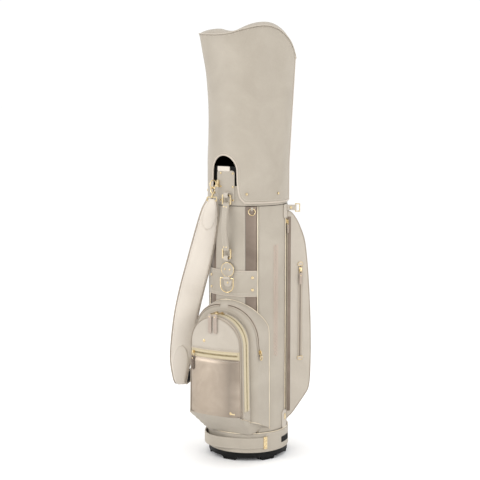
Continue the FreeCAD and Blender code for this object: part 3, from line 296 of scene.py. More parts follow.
def metallic_leather(name, light, dark, rough, crush, crush_scale, metallic=0.55, painted_shade=()):
    """Foil-faced leather that creases, with a fine grain. painted_shade lists (x, share of the tone kept)
    across a panel, whose foil is darkened towards one side as painted shade and painted reflection."""
    s = Shader(name, metallic=metallic)
    folds = s.noise(crush_scale, 3.0, 1.2)
    broad = s.noise(11.0, 3.0, 0.8)
    grain = s.cells(1100.0)
    tone = s.ramp(broad, (0.32, dark), (0.66, light))
    tone = s.mix(s.grey(folds, 0.0, 0.22, 0.55, 0.75), tone, light)
    tone = s.mix(s.grey(grain, 0.0, 0.14, 0.3, 0.8), tone, tuple(c * 0.7 for c in dark))
    # painted shade: darker bands across x stand in for the dark studio reflections that the white world does not
    # give the foil
    if painted_shade:
        low, high = painted_shade[0][0], painted_shade[-1][0]
        stops = [((x - low) / (high - low), (share,) * 3) for x, share in painted_shade]
        across = s.math("ADD", s.grey(s.along("X"), 0.0, 1.0, low, high), s.grey(broad, -0.06, 0.06))
        tone = s.mix(s.ramp(across, *stops), tuple(c * 0.40 for c in dark), tone)
    s.set("Base Color", tone)
    gloss = s.grey(folds, rough[1], rough[0], 0.3, 0.7)
    s.set("Roughness", s.math("ADD", gloss, s.grey(grain, 0.0, 0.08, 0.2, 0.8)))
    s.set("Normal", s.bump(s.math("MULTIPLY", grain, -1.0), 0.00010, 0.6, s.bump(folds, crush, 0.7)))
    return s.material


def metal(name, light, dark, rough):
    """Plated metal with faint wear, fine scratches and duller low places."""
    s = Shader(name, metallic=1.0)
    wear = s.noise(160.0, 4.0, 0.5)
    scratches = s.noise(900.0, 2.0, 0.0, (1.0, 1.0, 0.08))
    s.set("Base Color", s.ramp(wear, (0.35, dark), (0.62, light)))
    gloss = s.grey(wear, rough[1], rough[0], 0.3, 0.7)
    s.set("Roughness", s.math("ADD", gloss, s.grey(scratches, 0.0, 0.06, 0.45, 0.7)))
    s.set("Normal", s.bump(scratches, 0.00003, 0.4))
    return s.material


def plastic(name, light, dark, rough, specular=0.5):
    """Moulded plastic with a spark-eroded texture and scuffs."""
    s = Shader(name)
    texture = s.noise(2600.0, 3.0)
    scuffs = s.noise(38.0, 6.0, 1.2)
    s.set("Base Color", s.ramp(scuffs, (0.45, dark), (0.72, light)))
    s.set("Roughness", s.grey(scuffs, rough[1], rough[0], 0.4, 0.7))
    s.set("Normal", s.bump(texture, 0.00006, 0.6))
    s.bsdf.inputs["Specular IOR Level"].default_value = specular
    return s.material


def woven(name, light, dark, pitch, rough=0.8, sheen=0.2):
    """Woven tape or lining: warp and weft ribs at a thread pitch, with uneven dye."""
    s = Shader(name, roughness=rough)
    rate = 1.0 / pitch / 2.0 * 0.32
    warp, weft = s.waves(rate, "DIAGONAL", 0.6), s.waves(rate, "Z", 0.6)
    threads = s.math("MULTIPLY", warp, weft)
    dye = s.noise(70.0, 4.0)
    tone = s.mix(s.grey(threads, 0.0, 0.7), dark, light)
    s.set("Base Color", s.mix(s.grey(dye, 0.0, 0.3, 0.4, 0.7), tone, dark))
    s.set("Roughness", s.grey(dye, rough - 0.08, min(rough + 0.08, 1.0), 0.3, 0.7))
    s.set("Normal", s.bump(threads, 0.00018, 0.6))
    s.bsdf.inputs["Sheen Weight"].default_value = sheen
    return s.material


def thread(name, light, dark):
    """Twisted sewing thread."""
    s = Shader(name, roughness=0.62)
    twist = s.noise(3800.0, 2.0, 0.3)
    s.set("Base Color", s.ramp(twist, (0.35, dark), (0.65, light)))
    s.set("Roughness", s.grey(twist, 0.52, 0.72))
    s.set("Normal", s.bump(twist, 0.0001, 0.5))
    s.bsdf.inputs["Sheen Weight"].default_value = 0.3
    return s.material
# painted shade and painted reflection on the champagne foil, darker towards the right of the face
FOIL_PAINTED_SHADE = (                  # x across the pocket's face, share of the foil's tone kept
    (-0.085, 0.80), (-0.05, 1.0), (-0.01, 0.94), (0.030, 0.66), (0.052, 0.36), (0.068, 0.50), (0.085, 0.70),
)


MATERIALS = {
    "ivory": leather("ivory_leather", (0.422, 0.376, 0.311), (0.372, 0.328, 0.268)),
    "ivory_light": leather("light_leather", (0.500, 0.448, 0.378), (0.445, 0.395, 0.330), sheen=0.1),
    "ivory_strap": leather("strap_leather", (0.660, 0.600, 0.525), (0.610, 0.550, 0.478), sheen=0.1),
    "ivory_trim": leather("trim_leather", (0.560, 0.495, 0.415), (0.470, 0.405, 0.335), (0.34, 0.48), 0.0002),
    "piping": leather("piping_leather", (0.400, 0.340, 0.272), (0.320, 0.268, 0.212), (0.36, 0.5), 0.0002),
    "pull": leather("pull_leather", (0.440, 0.365, 0.305), (0.350, 0.280, 0.230), (0.5, 0.62)),
    # dark brown leather for the face zip's pull, made darker still as painted shade for a pull hanging in shadow
    "pull_dark": leather("dark_shaded_pull_leather", (0.120, 0.080, 0.055), (0.080, 0.052, 0.036), (0.4, 0.55)),
    "champagne": metallic_leather("champagne_leather", (0.54, 0.450, 0.362), (0.39, 0.320, 0.252),
                                  (0.30, 0.42), 0.0005, 38.0, 0.6, FOIL_PAINTED_SHADE),
    "bronze": metallic_leather("bronze_leather", (0.235, 0.184, 0.146), (0.165, 0.127, 0.098),
                               (0.34, 0.48), 0.0004, 60.0),
    "gold_piping": metallic_leather("gold_piping", (0.84, 0.76, 0.60), (0.62, 0.53, 0.40),
                                    (0.24, 0.36), 0.0002, 90.0, 0.8),
    "gold": metal("gold_metal", (0.80, 0.655, 0.400), (0.60, 0.465, 0.260), (0.14, 0.26)),
    "gold_teeth": metal("gold_teeth", (0.40, 0.330, 0.200), (0.27, 0.215, 0.125), (0.28, 0.42)),
    "steel": metal("steel_rod", (0.62, 0.62, 0.62), (0.48, 0.48, 0.48), (0.24, 0.36)),
    "black_plastic": plastic("black_plastic", (0.0085, 0.0082, 0.0078), (0.0040, 0.0039, 0.0037),
                             (0.42, 0.56), 0.16),
    "board": plastic("grey_board", (0.20, 0.19, 0.18), (0.15, 0.14, 0.13), (0.7, 0.85)),
    "lining": woven("black_lining", (0.014, 0.013, 0.014), (0.006, 0.006, 0.007), 0.0009, 0.9, 0.05),
    "strap_back": woven("strap_backing", (0.012, 0.011, 0.011), (0.005, 0.005, 0.005), 0.0012, 0.9, 0.05),
    "zip_tape": woven("zip_tape", (0.60, 0.520, 0.355), (0.49, 0.415, 0.270), 0.0008, 0.6, 0.3),
    "beige_tape": woven("beige_tape", (0.46, 0.400, 0.325), (0.37, 0.315, 0.250), 0.0008, 0.7, 0.3),
    "coil": plastic("zip_coil", (0.230, 0.180, 0.132), (0.150, 0.115, 0.084), (0.40, 0.55)),
    "thread": thread("ivory_thread", (0.66, 0.600, 0.520), (0.48, 0.425, 0.350)),
    "motif": thread("motif_thread", (0.56, 0.440, 0.365), (0.44, 0.335, 0.270)),
}

# Mesh making ---------------------------------------------------------------------------------------


def add_mesh(name, verts, faces, mats, body, indices=None, smooth=True, away=None):
    """A mesh piece in the row frame that rides on a body. Closed forms face outwards; an open one
    faces away from a point, or away from the bag's axis."""
    data = bpy.data.meshes.new(name)
    data.from_pydata([tuple(v) for v in verts], [], faces)
    for mat in mats:
        data.materials.append(MATERIALS[mat])
    if indices is not None:
        data.polygons.foreach_set("material_index", indices)
    data.polygons.foreach_set("use_smooth", [smooth] * len(data.polygons))
    data.validate()
    piece = bpy.data.objects.new(name, data)
    scene.collection.objects.link(piece)
    fix = bmesh.new()
    fix.from_mesh(data)
    bmesh.ops.remove_doubles(fix, verts=fix.verts, dist=1e-6)
    if away is None:
        bmesh.ops.recalc_face_normals(fix, faces=fix.faces)
    else:
        facing = 0.0
        for face in fix.faces:
            middle = face.calc_center_median()
            origin = Vector((0.0, 0.0, middle.z)) if away == "axis" else away
            facing += face.calc_area() * face.normal.dot((middle - origin).normalized())
        if facing < 0.0:
            bmesh.ops.reverse_faces(fix, faces=fix.faces)
    fix.to_mesh(data)
    fix.free()
    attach(piece, body)
    return piece


def grid_faces(rows, cols, wrap=False, start=0):
    """Quads over rows of vertices laid out one after another."""
    faces = []
    for i in range(rows - 1):
        here, there = start + i * cols, start + (i + 1) * cols
        for j in range(cols if wrap else cols - 1):
            k = (j + 1) % cols
            faces.append((here + j, here + k, there + k, there + j))
    return faces


def carried(rows, closed=False):
    """Vertices and faces of a form whose sections are rows: joined end to start, or capped at both ends."""
    if closed:
        rows = rows + [rows[0]]
    count = len(rows[0])
    verts = [p for row in rows for p in row]
    faces = grid_faces(len(rows), count, True)
    if not closed:
        faces.append(tuple(range(count))[::-1])
        faces.append(tuple(range(len(verts) - count, len(verts))))
    return verts, faces


def sheet_piece(name, rows, mats, body, wrap=False, thickness=0.0, away="axis"):
    """A surface from rows of points. With a thickness it is a shell, lined with the second material."""
    verts = [p for row in rows for p in row]
    piece = add_mesh(name, verts, grid_faces(len(rows), len(rows[0]), wrap), mats, body, away=away)
    if thickness:
        shell = piece.modifiers.new("thickness", "SOLIDIFY")
        shell.thickness = thickness
        shell.offset = -1.0
        shell.material_offset = len(mats) - 1
    return piece


def sweep(name, spots, profile, mat, body, closed=False):
    """A strip with a closed profile of (across, out) places, carried along (centre, across, out) spots."""
    rows = [[c + across * u + out * h for u, h in profile] for c, across, out in spots]
    return add_mesh(name, *carried(rows, closed), [mat], body)


def strip_profile(half_width, thickness, crown=0.0, bevel=None, steps=6):
    """Section of a flat strap: rounded edges, and a crowned outer face."""
    b = min(thickness * 0.45, half_width * 0.4) if bevel is None else bevel
    w, t = half_width, thickness
    points = [(-w + b, 0.0), (0.0, 0.0), (w - b, 0.0), (w - b * 0.3, b * 0.3), (w, b), (w, t - b)]
    points.append((w - b * 0.3, t - b * 0.3))
    for k in range(steps + 1):
        u = (w - b) * (1.0 - 2.0 * k / steps)
        points.append((u, t + crown * (1.0 - (u / (w - b)) ** 2)))
    return points + [(-w + b * 0.3, t - b * 0.3), (-w, t - b), (-w, b), (-w + b * 0.3, b * 0.3)]


def across_line(tangent):
    """A direction square to a line, level unless the line is nearly upright."""
    guess = Vector((0, 0, 1)) if abs(tangent.z) < 0.9 else Vector((1, 0, 0))
    return tangent.cross(guess).normalized()


def frames_along(points, closed=False):
    """A (tangent, side, up) frame at each point, turned as little as possible from one to the next."""
    count = len(points)
    frames = []
    side = None
    for k, p in enumerate(points):
        before = points[(k - 1) % count] if closed or k else p
        after = points[(k + 1) % count] if closed or k < count - 1 else p
        tangent = (after - before).normalized()
        side = across_line(tangent) if side is None else side
        side = (side - tangent * side.dot(tangent)).normalized()
        frames.append((tangent, side, tangent.cross(side)))
    return frames


def tube(name, points, radius, mat, body, closed=False, sides=8):
    """A round cord of leather, thread or wire along points."""
    rows = []
    for p, (_, side, up) in zip(points, frames_along(points, closed)):
        rows.append([p + side * (radius * math.cos(a)) + up * (radius * math.sin(a))
                     for a in full_turn(sides)])
    return add_mesh(name, *carried(rows, closed), [mat], body)


def resample(points, step, closed=False):
    """Points at even steps along a polyline."""
    line = list(points) + ([points[0]] if closed else [])
    lengths = [0.0]
    for a, b in zip(line, line[1:]):
        lengths.append(lengths[-1] + (b - a).length)
    count = max(int(lengths[-1] / step), 2)
    out, k = [], 0
    for i in range(count + (0 if closed else 1)):
        target = lengths[-1] * i / count
        while k < len(line) - 2 and lengths[k + 1] < target:
            k += 1
        span = lengths[k + 1] - lengths[k]
        out.append(line[k].lerp(line[k + 1], (target - lengths[k]) / span if span else 0.0))
    return out


STITCH_PITCH = 0.0042
STITCH_LENGTH = 0.0030
STITCH_RADIUS = 0.00045


def stitches(name, lines, body, mat="thread", pitch=STITCH_PITCH, length=STITCH_LENGTH, radius=STITCH_RADIUS):
    """Rows of separate stitches along polylines that lie on a surface."""
    verts, faces = [], []
    sides = 5
    for line in lines:
        spots = resample(line, pitch)
        for a, b in zip(spots, spots[1:]):
            if (b - a).length < 1e-7:
                continue
            tangent = (b - a).normalized()
            side = across_line(tangent)
            up = tangent.cross(side)
            middle = (a + b) / 2
            start = len(verts)
            for share, thick in ((-0.5, 0.35), (-0.3, 1.0), (0.3, 1.0), (0.5, 0.35)):
                centre = middle + tangent * (length * share)
                for turn in full_turn(sides):
                    verts.append(centre + (side * math.cos(turn) + up * math.sin(turn)) * (radius * thick))
            faces += grid_faces(4, sides, True, start)
            faces.append(tuple(start + k for k in range(sides))[::-1])
            faces.append(tuple(start + 3 * sides + k for k in range(sides)))
    return add_mesh(name, verts, faces, [mat], body)


def rounded_outline(width, height, radii, steps=6):
    """A rectangle's outline. radii are its corners': right foot, right top, left top and left foot, or one
    radius for all four."""
    hw, hh = width / 2, height / 2
    corners = [(hw, -hh, -90), (hw, hh, 0), (-hw, hh, 90), (-hw, -hh, 180)]
    radii = (radii,) * 4 if isinstance(radii, float) else radii
    points = []
    for (x, y, start), radius in zip(corners, radii):
        cx = x - math.copysign(radius, x)
        cy = y - math.copysign(radius, y)
        for degrees in span(start, start + 90.0, steps):
            a = math.radians(degrees)
            points.append((cx + radius * math.cos(a), cy + radius * math.sin(a)))
    return points


def disc_outline(radius, steps=28):
    return [(radius * math.cos(a), radius * math.sin(a)) for a in full_turn(steps)]


def dense(points, step=0.003):
    """A closed outline with points no further apart than a step."""
    out = []
    for (ax, ay), (bx, by) in zip(points, points[1:] + points[:1]):
        count = max(int(math.ceil(math.hypot(bx - ax, by - ay) / step)), 1)
        out += [(lerp(ax, bx, k / count), lerp(ay, by, k / count)) for k in range(count)]
    return out


def inset_outline(points, distance):
    """The outline moved inwards, square to itself."""
    count = len(points)
    out = []
    for k, (x, y) in enumerate(points):
        (ax, ay), (bx, by) = points[(k - 1) % count], points[(k + 1) % count]
        tx, ty = bx - ax, by - ay
        size = math.hypot(tx, ty) or 1.0
        out.append((x - ty / size * distance, y + tx / size * distance))
    return out


def domed(rows, middle):
    """Vertices and faces of a form of rings that closes at a middle point, with a flat base."""
    count = len(rows[0])
    verts = [p for row in rows for p in row]
    faces = grid_faces(len(rows), count, True)
    verts.append(middle)
    last = (len(rows) - 1) * count
    faces += [(last + k, last + (k + 1) % count, len(verts) - 1) for k in range(count)]
    faces.append(tuple(range(count))[::-1])
    return verts, faces


def plate(name, outline, place, thickness, mat, body, edge=0.0006, crown=0.0, rings=5, base=0.0):
    """A leather plate with rounded edges. place(u, v, height) puts it on the surface that it lies on."""
    outline = dense(outline)
    top = base + thickness
    rows = []
    for inset, height in ((0.0, base), (0.0, top - edge), (edge * 0.3, top - edge * 0.3), (edge, top)):
        rows.append([place(x, y, height) for x, y in inset_outline(outline, inset)])
    inner = inset_outline(outline, edge)
    cx = sum(x for x, _ in inner) / len(inner)
    cy = sum(y for _, y in inner) / len(inner)
    for k in range(1, rings):
        keep = 1.0 - k / rings
        height = top + crown * (1.0 - keep * keep)
        rows.append([place(cx + (x - cx) * keep, cy + (y - cy) * keep, height) for x, y in inner])
    return add_mesh(name, *domed(rows, place(cx, cy, top + crown)), [mat], body)


def plate_stitches(outline, place, inset, height):
    """The line that a row of stitches follows, just inside a plate's edge."""
    outline = dense(outline)
    points = [place(x, y, height) for x, y in inset_outline(outline, inset)]
    return points + points[:1]


def sewn_plate(name, outline, place, thickness, mat, seam, lift=0.0001, sewing=None, **form):
    """A plate on the bag with a row of stitches inside its edge, by seam."""
    piece = plate(name, outline, place, thickness, mat, "bag", **form)
    line = plate_stitches(outline, place, seam, thickness + lift)
    stitches(name + "_stitches", [line], "bag", **(sewing or {}))
    return piece


def on_cylinder(bearing, z, radius):
    """Places a flat outline on the body: u runs round it, v up it and height outwards."""

    def place(u, v, height):
        return at(bearing + math.degrees(u / radius), radius + height, z + v)

    return place


def on_plane(origin, right, up, out):
    def place(u, v, height):
        return origin + right * u + up * v + out * height

    return place


def stud(name, spot, out, radius, height, mat, body, dimple=0.0):
    """A domed stud or snap head on a surface, with a rolled edge and, if asked, a dimple."""
    side = across_line(out)
    up = out.cross(side)
    profile = [(1.0, 0.0), (1.04, 0.25), (0.98, 0.55), (0.86, 0.78), (0.66, 0.93), (0.45, 1.0 - dimple * 0.5)]
    profile.append((0.22, 1.0 - dimple))
    ring = [side * math.cos(a) + up * math.sin(a) for a in full_turn(20)]
    rows = [[spot + way * (radius * share) + out * (height * rise) for way in ring]
            for share, rise in profile]
    return add_mesh(name, *domed(rows, spot + out * (height * (1.0 - dimple))), [mat], body)


def cylinder_panel(name, first, last, low, high, outer, mat, puff=0.0006, wrinkle=0.0004, seed=0.0):
    """A sewn panel on the round body: its edges pulled down into the seams, its face softly uneven."""
    columns = max(int(abs(last - first) / 2.0), 6)
    shares = sorted({0.0, 0.012, 0.03, 0.97, 0.988, 1.0} | {k / columns for k in range(1, columns)})
    heights = sorted({low, low + 0.002, low + 0.006, high - 0.006, high - 0.002, high}
                     | {lerp(low, high, k / 72) for k in range(1, 72)})
    width = math.radians(abs(last - first)) * outer
    rows = []
    for z in heights:
        row = []
        for share in shares:
            bearing = lerp(first, last, share)
            edge = min(share * width, (1.0 - share) * width, z - low, high - z)
            sink = SEAM_SINK * (1.0 - smoothstep(edge / 0.005))
            uneven = wrinkle * wobble(at(bearing, outer, z), 22.0, seed) * smoothstep(edge / 0.012)
            swell = puff * smoothstep(edge / 0.03) + uneven
            row.append(at(bearing, outer - sink + swell, z))
        rows.append(row)
    return sheet_piece(name, rows, [mat], "bag", thickness=0.0012)


def copy_of(node, name, matrix, body, mat):
    """A copy of a CAD node's mesh, moved or mirrored."""
    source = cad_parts[node].data
    verts = [matrix @ v.co for v in source.vertices]
    faces = [tuple(p.vertices) for p in source.polygons]
    return add_mesh(name, verts, faces, [mat], body, smooth=False)


# Zips ----------------------------------------------------------------------------------------------

TOOTH_PITCH = 0.0026
TOOTH_HEIGHT = 0.0012
TOOTH_HALF_WIDTH = 0.00095
TAPE_THICK = 0.0007
COIL_ZIP = dict(tape="beige_tape", teeth="coil", cord="ivory_trim")


def path_spots(points, outs):
    """(centre, across, out) at each point of a path whose outward directions are known."""
    spots = []
    for k, (p, out) in enumerate(zip(points, outs)):
        tangent = (points[min(k + 1, len(points) - 1)] - points[max(k - 1, 0)]).normalized()
        out = (out - tangent * out.dot(tangent)).normalized()
        spots.append((p, tangent.cross(out), out))
    return spots


def zip_run(name, points, outs, half_width, body, tape="zip_tape", chain=0.0021,
            teeth="gold_teeth", cord=None):
    """Tape with a raised coil cord at each side of the seam, and metal teeth that mesh along the middle."""
    spots = path_spots(points, outs)
    tape_piece = sweep(name + "_tape", spots, strip_profile(half_width, TAPE_THICK, 0.0001), tape, body)
    for side in (-1, 1):
        reach = side * (chain + 0.0007)
        edge = [c + across * reach + out * TAPE_THICK for c, across, out in spots]
        tube(name + ("_cord_left" if side < 0 else "_cord_right"), edge, 0.0007, cord or tape, body, sides=6)
    verts, faces = [], []
    length, following, count = 0.0, 0.0, 0
    for (p, across, out), (q, across_next, out_next) in zip(spots, spots[1:]):
        step = (q - p).length
        while following <= length + step:
            t = (following - length) / step
            centre = p.lerp(q, t) + out.lerp(out_next, t) * TAPE_THICK
            a, o = across.lerp(across_next, t).normalized(), out.lerp(out_next, t).normalized()
            run = a.cross(o)
            side = 1 if count % 2 else -1
            start = len(verts)
            for rise, shrink in ((0.0, 1.0), (TOOTH_HEIGHT * 0.7, 1.0), (TOOTH_HEIGHT, 0.6)):
                for u, w in ((-0.15, -1), (1.0, -1), (1.0, 1), (-0.15, 1)):
                    across_place = side * chain * (0.425 + (u - 0.425) * shrink)
                    along_place = w * TOOTH_HALF_WIDTH * shrink
                    verts.append(centre + a * across_place + run * along_place + o * rise)
            faces += grid_faces(3, 4, True, start)
            faces.append(tuple(start + 8 + k for k in range(4)))
            following += TOOTH_PITCH * 0.5
            count += 1
        length += step
    add_mesh(name + "_teeth", verts, faces, [teeth], body, smooth=False)
    return tape_piece


# Base ----------------------------------------------------------------------------------------------

VENT_BEARINGS = (84.0, 108.0)
VENT_HEIGHTS = (0.043, 0.060)
VENT_DEPTH = 0.00245
BELT_FIRST, BELT_LAST = -78.0, 58.0
BELT_Z = (0.038, 0.071)
BELT_IN = 0.1199
BELT_THICK = 0.0036
BELT_STANDOFF = 0.015
BELT_SEWN, BELT_LOOSE = 8.0, 86.0           # degrees sewn down at the left, and loose after that


def make_collar():
    """Leather-covered ring round the foot, with stitched edges and a place for the vent."""
    inner, outer = COLLAR
    low, high = COLLAR_Z
    first, last = VENT_BEARINGS
    foot, head = VENT_HEIGHTS
    bearings = {3.0 * k for k in range(120)} | {edge + way for edge in VENT_BEARINGS for way in (-0.08, 0.08)}
    levels = {low + 0.003, high - 0.003} | {edge + way for edge in VENT_HEIGHTS for way in (-0.0001, 0.0001)}
    levels |= {lerp(low, high, k / 14) for k in range(2, 13)}
    section = [(inner, low + 0.0005), (inner + 0.001, low), (outer - 0.002, low),
               (outer - 0.0006, low + 0.0006)]
    section += [(outer, z) for z in sorted(levels)]
    section += [(outer - 0.0006, high - 0.0006), (outer - 0.002, high), (inner + 0.001, high)]
    section.append((inner, high - 0.0005))
    rows = []
    for radius, z in section:
        row = []
        for bearing in sorted(bearings):
            in_vent = radius == outer and first < bearing < last and foot < z < head
            soft = 0.0003 * wobble(at(bearing, radius, z), 30.0, 3.0) * (radius == outer)
            row.append(at(bearing, radius - VENT_DEPTH if in_vent else radius + soft, z))
        rows.append(row)
    rows.append(rows[0])
    collar = sheet_piece("collar", rows, ["ivory"], "bag", wrap=True, away=None)
    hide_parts("bottom_collar")
    lines = [level_line(0, 360, outer + 0.0003, z, 120) for z in (low + 0.0045, high - 0.0045)]
    stitches("collar_stitches", lines, "bag")
    ring = [at(b, outer - 0.0015, high + 0.0009) for b in range(0, 360, 4)]
    tube("collar_piping", ring, 0.0013, "gold_piping", "bag", closed=True)


def belt_bulge(bearing):
    """How far the belt stands off the collar, as a handle."""
    share = (bearing - BELT_FIRST - BELT_SEWN) / BELT_LOOSE
    return BELT_STANDOFF * math.sin(math.pi * share) ** 2 if 0.0 < share < 1.0 else 0.0


def make_belt():
    """Lifting belt at the foot, two layers of leather sewn along both edges."""
    middle = sum(BELT_Z) / 2
    half = (BELT_Z[1] - BELT_Z[0]) / 2
    steps = 60
    points = [at(b, BELT_IN + belt_bulge(b), middle) for b in span(BELT_FIRST, BELT_LAST, steps)]
    spots = []
    for k, p in enumerate(points):
        tangent = (points[min(k + 1, steps)] - points[max(k - 1, 0)]).normalized()
        spots.append((p, Vector((0, 0, -1)), tangent.cross(Vector((0, 0, 1)))))
    belt = sweep("base_belt", spots, strip_profile(half, BELT_THICK, 0.0006, 0.0012), "ivory", "bag")
    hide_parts("base_handle_belt")
    lines = []
    for place in (-half + 0.0035, half - 0.0035):
        lines.append([c + across * place + out * (BELT_THICK + 0.0002) for c, across, out in spots])
    stitches("base_belt_stitches", lines, "bag")


# Body ----------------------------------------------------------------------------------------------


def make_body():
    """Sewn panels, metallic strips and the piping in the seams between them."""
    low, high = PANEL_Z
    first, last = SIDE_EDGES
    yoke, rear = YOKE_EDGE + STRIP_LAP, REAR_EDGE - STRIP_LAP
    panels = {
        "panel_yoke": (-YOKE_EDGE, YOKE_EDGE), "panel_right": (first + SEAM, last - SEAM),
        "panel_left": (-last + SEAM, -first - SEAM), "panel_rear": (REAR_EDGE, 360.0 - REAR_EDGE),
    }
    inset = math.degrees(0.0042 / PANEL_OUT)
    for seed, (name, (start, end)) in enumerate(panels.items()):
        panel = cylinder_panel(name, start, end, low, high, PANEL_OUT, "ivory", seed=5.0 * seed)
        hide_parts("cover_panels")
        edges = (start + inset, end - inset)
        lines = [upright_line(b, PANEL_OUT + 0.0002, low, high, 40) for b in edges]
        stitches(name + "_stitches", lines, "bag")
    strips = {
        "strip_front_right": (yoke, first - SEAM), "strip_front_left": (-first + SEAM, -yoke),
        "strip_rear_right": (last + SEAM, rear), "strip_rear_left": (-rear, -last - SEAM),
    }
    for seed, (name, (start, end)) in enumerate(strips.items()):
        strip = cylinder_panel(name, start, end, low, high, STRIP_OUT, "bronze", 0.0004, 0.0005, 40.0 + seed)
        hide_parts("metallic_strips")
    for k, bearing in enumerate(b * side for b in SIDE_EDGES for side in (1, -1)):
        points = upright_line(bearing, PIPING_R, low, high, 30)
        cord = tube(f"body_piping_{k}", points, PIPING_WIRE, "gold_piping", "bag")
        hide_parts("body_piping")


BAND_Z = (0.485, 0.560)
BAND_EDGE = 41.0


def make_band():
    """Belt band across the front, rolled at its upper and lower edges."""
    low, high = BAND_Z
    width = 2.0 * math.radians(BAND_EDGE) * BAND_OUT
    outline = rounded_outline(width, high - low, 0.002)
    place = on_cylinder(0.0, (low + high) / 2, BAND_IN)
    band = plate("belt_band", outline, place, BAND_OUT - BAND_IN, "ivory", "bag", 0.0008, 0.0002, rings=12)
    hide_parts("belt_band")
    end = BAND_EDGE - 1.5
    heights = (low + 0.005, low + 0.0085, high - 0.0085, high - 0.005)
    stitches("belt_band_stitches", [level_line(-end, end, BAND_OUT + 0.0001, z, 60) for z in heights], "bag")
    for name, z in (("belt_band_top_roll", high - 0.0012), ("belt_band_foot_roll", low + 0.0012)):
        line = level_line(-BAND_EDGE, BAND_EDGE, BAND_OUT - 0.0004, z, 60)
        tube(name, line, 0.0014, "ivory_trim", "bag")


# Cuff ----------------------------------------------------------------------------------------------

CUFF_PATCH = dict(first=-20.0, last=9.5, low=0.753, high=0.845, inner=0.1146, thick=0.0028)


def make_cuff():
    """Leather round the foot of the moulded cuff, and the riveted patch for the handle and strap."""
    inner, outer, low, high = CUFF_COVER
    section = [(inner, low), (outer - 0.0004, low), (outer, low + 0.001), (outer, lerp(low, high, 0.3)),
               (outer, lerp(low, high, 0.7)), (outer, high - 0.0012), (outer - 0.0005, high - 0.0002),
               (inner + 0.0004, high), (inner, high - 0.0004), (inner, low)]
    rows = [[at(3.0 * k, radius, z) for k in range(120)] for radius, z in section]
    cover = sheet_piece("cuff_cover", rows, ["ivory"], "bag", wrap=True, away=None)
    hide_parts("cuff_cover")
    ring = [at(4.0 * k, outer - 0.0008, high - 0.0003) for k in range(90)]
    tube("cuff_piping", ring, 0.0011, "gold_piping", "bag", closed=True)
    spec = CUFF_PATCH
    inner, thick = spec["inner"], spec["thick"]
    width = math.radians(spec["last"] - spec["first"]) * inner
    outline = rounded_outline(width, spec["high"] - spec["low"], 0.008)
    place = on_cylinder((spec["first"] + spec["last"]) / 2, (spec["low"] + spec["high"]) / 2, inner)
    patch = sewn_plate("cuff_patch", outline, place, thick, "ivory", 0.0032,
                       edge=0.0009, crown=0.0002, rings=9)
    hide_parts("cuff_patch")
    place = on_cylinder(-8.0, 0.8495, inner)
    outline = rounded_outline(0.042, 0.014, 0.003)
    plate("cuff_patch_fold", outline, place, thick + 0.0016, "ivory_strap", "bag", 0.0012, 0.0003)


# Dividers ------------------------------------------------------------------------------------------

DIVIDER_LOW, DIVIDER_HIGH = 0.031, 0.8258
CELL_REACH = 0.101
CROSS_Y = 0.034


def make_dividers():
    """Fabric walls of the six club cells, hung from the divider frame."""
    side_reach = math.sqrt(CELL_REACH ** 2 - CROSS_Y ** 2)
    near = CROSS_Y - 0.0008
    far = CROSS_Y + 0.0008
    ends = {
        "divider_wall_front": ((-side_reach, -CROSS_Y), (side_reach, -CROSS_Y)),
        "divider_wall_rear": ((-side_reach, CROSS_Y), (side_reach, CROSS_Y)),
        "divider_wall_first": ((0, -CELL_REACH), (0, -far)),
        "divider_wall_middle": ((0, -near), (0, near)),
        "divider_wall_last": ((0, far), (0, CELL_REACH)),
    }
    rows_up = 60
    for seed, (name, (first, last)) in enumerate(ends.items()):
        a, b = Vector((*first, 0)), Vector((*last, 0))
        across = (b - a).normalized()
        sideways = Vector((-across.y, across.x, 0))
        columns = max(int((b - a).length / 0.006), 6)
        rows = []
        for i in range(rows_up + 1):
            z = lerp(DIVIDER_LOW, DIVIDER_HIGH, i / rows_up)
            row = []
            for j in range(columns + 1):
                p = a.lerp(b, j / columns) + Vector((0, 0, z))
                free = math.sin(math.pi * j / columns) * math.sin(math.pi * i / rows_up)
                row.append(p + sideways * (0.0007 * wobble(p, 14.0, 7.0 * seed) * free))
            rows.append(row)
        wall = sheet_piece(name, rows, ["lining"], "bag", away=a + sideways * -0.3 + Vector((0, 0, 0.4)))
        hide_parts("divider_walls")


# Hood ----------------------------------------------------------------------------------------------

HOOD_LONG_BEARING = 119.0
HOOD_HEM = 0.752
HOOD_R = 0.1182
HOOD_SECTIONS = (               # height, half length, half depth, shift along the long way
    (0.752, 0.1182, 0.1182, 0.0), (0.860, 0.1186, 0.1174, 0.0007), (0.950, 0.1196, 0.1143, 0.0045),
    (1.037, 0.1228, 0.1099, 0.0066), (1.123, 0.1291, 0.1045, 0.0056), (1.185, 0.1361, 0.0990, 0.0018),
    (1.238, 0.1415, 0.0935, -0.0015), (1.290, 0.1460, 0.0890, -0.0040),
)
HOOD_PROFILE = (                # along the long way, height of the saddle-shaped top
    (-0.155, 1.2400), (-0.122, 1.2370), (-0.088, 1.2355), (-0.052, 1.2390), (-0.012, 1.2500), (0.034, 1.2590),
    (0.066, 1.2575), (0.097, 1.2420), (0.121, 1.2140), (0.1345, 1.1780), (0.146, 1.1200),
)
HOOD_WALL = 0.0016
RIM_DROP = 0.0085               # how far the sewn rim lies under the crown of the lid
LID_RISE = 0.0105
LEFT_END_RISE = 0.0080
OPENING_BEARING = -8.0
OPENING_HALF, OPENING_CROWN, OPENING_ARCH_Z = 0.0415, 0.045, 0.842
OPENING_FLARE = ((0.752, 0.0625), (0.768, 0.0495), (0.800, 0.0435), (0.842, 0.0415))
HOOD_SEAM = 110.0               # bearing of the piped side seam
BINDING_SECTION = (             # distance from the edge and height over the wall, in millimetres
    (4.6, 0.0), (4.4, 0.9), (2.6, 1.25), (0.7, 1.1), (-0.4, 0.3), (-0.5, -0.8), (0.0, -2.1), (1.6, -2.5),
    (4.0, -2.2),
)


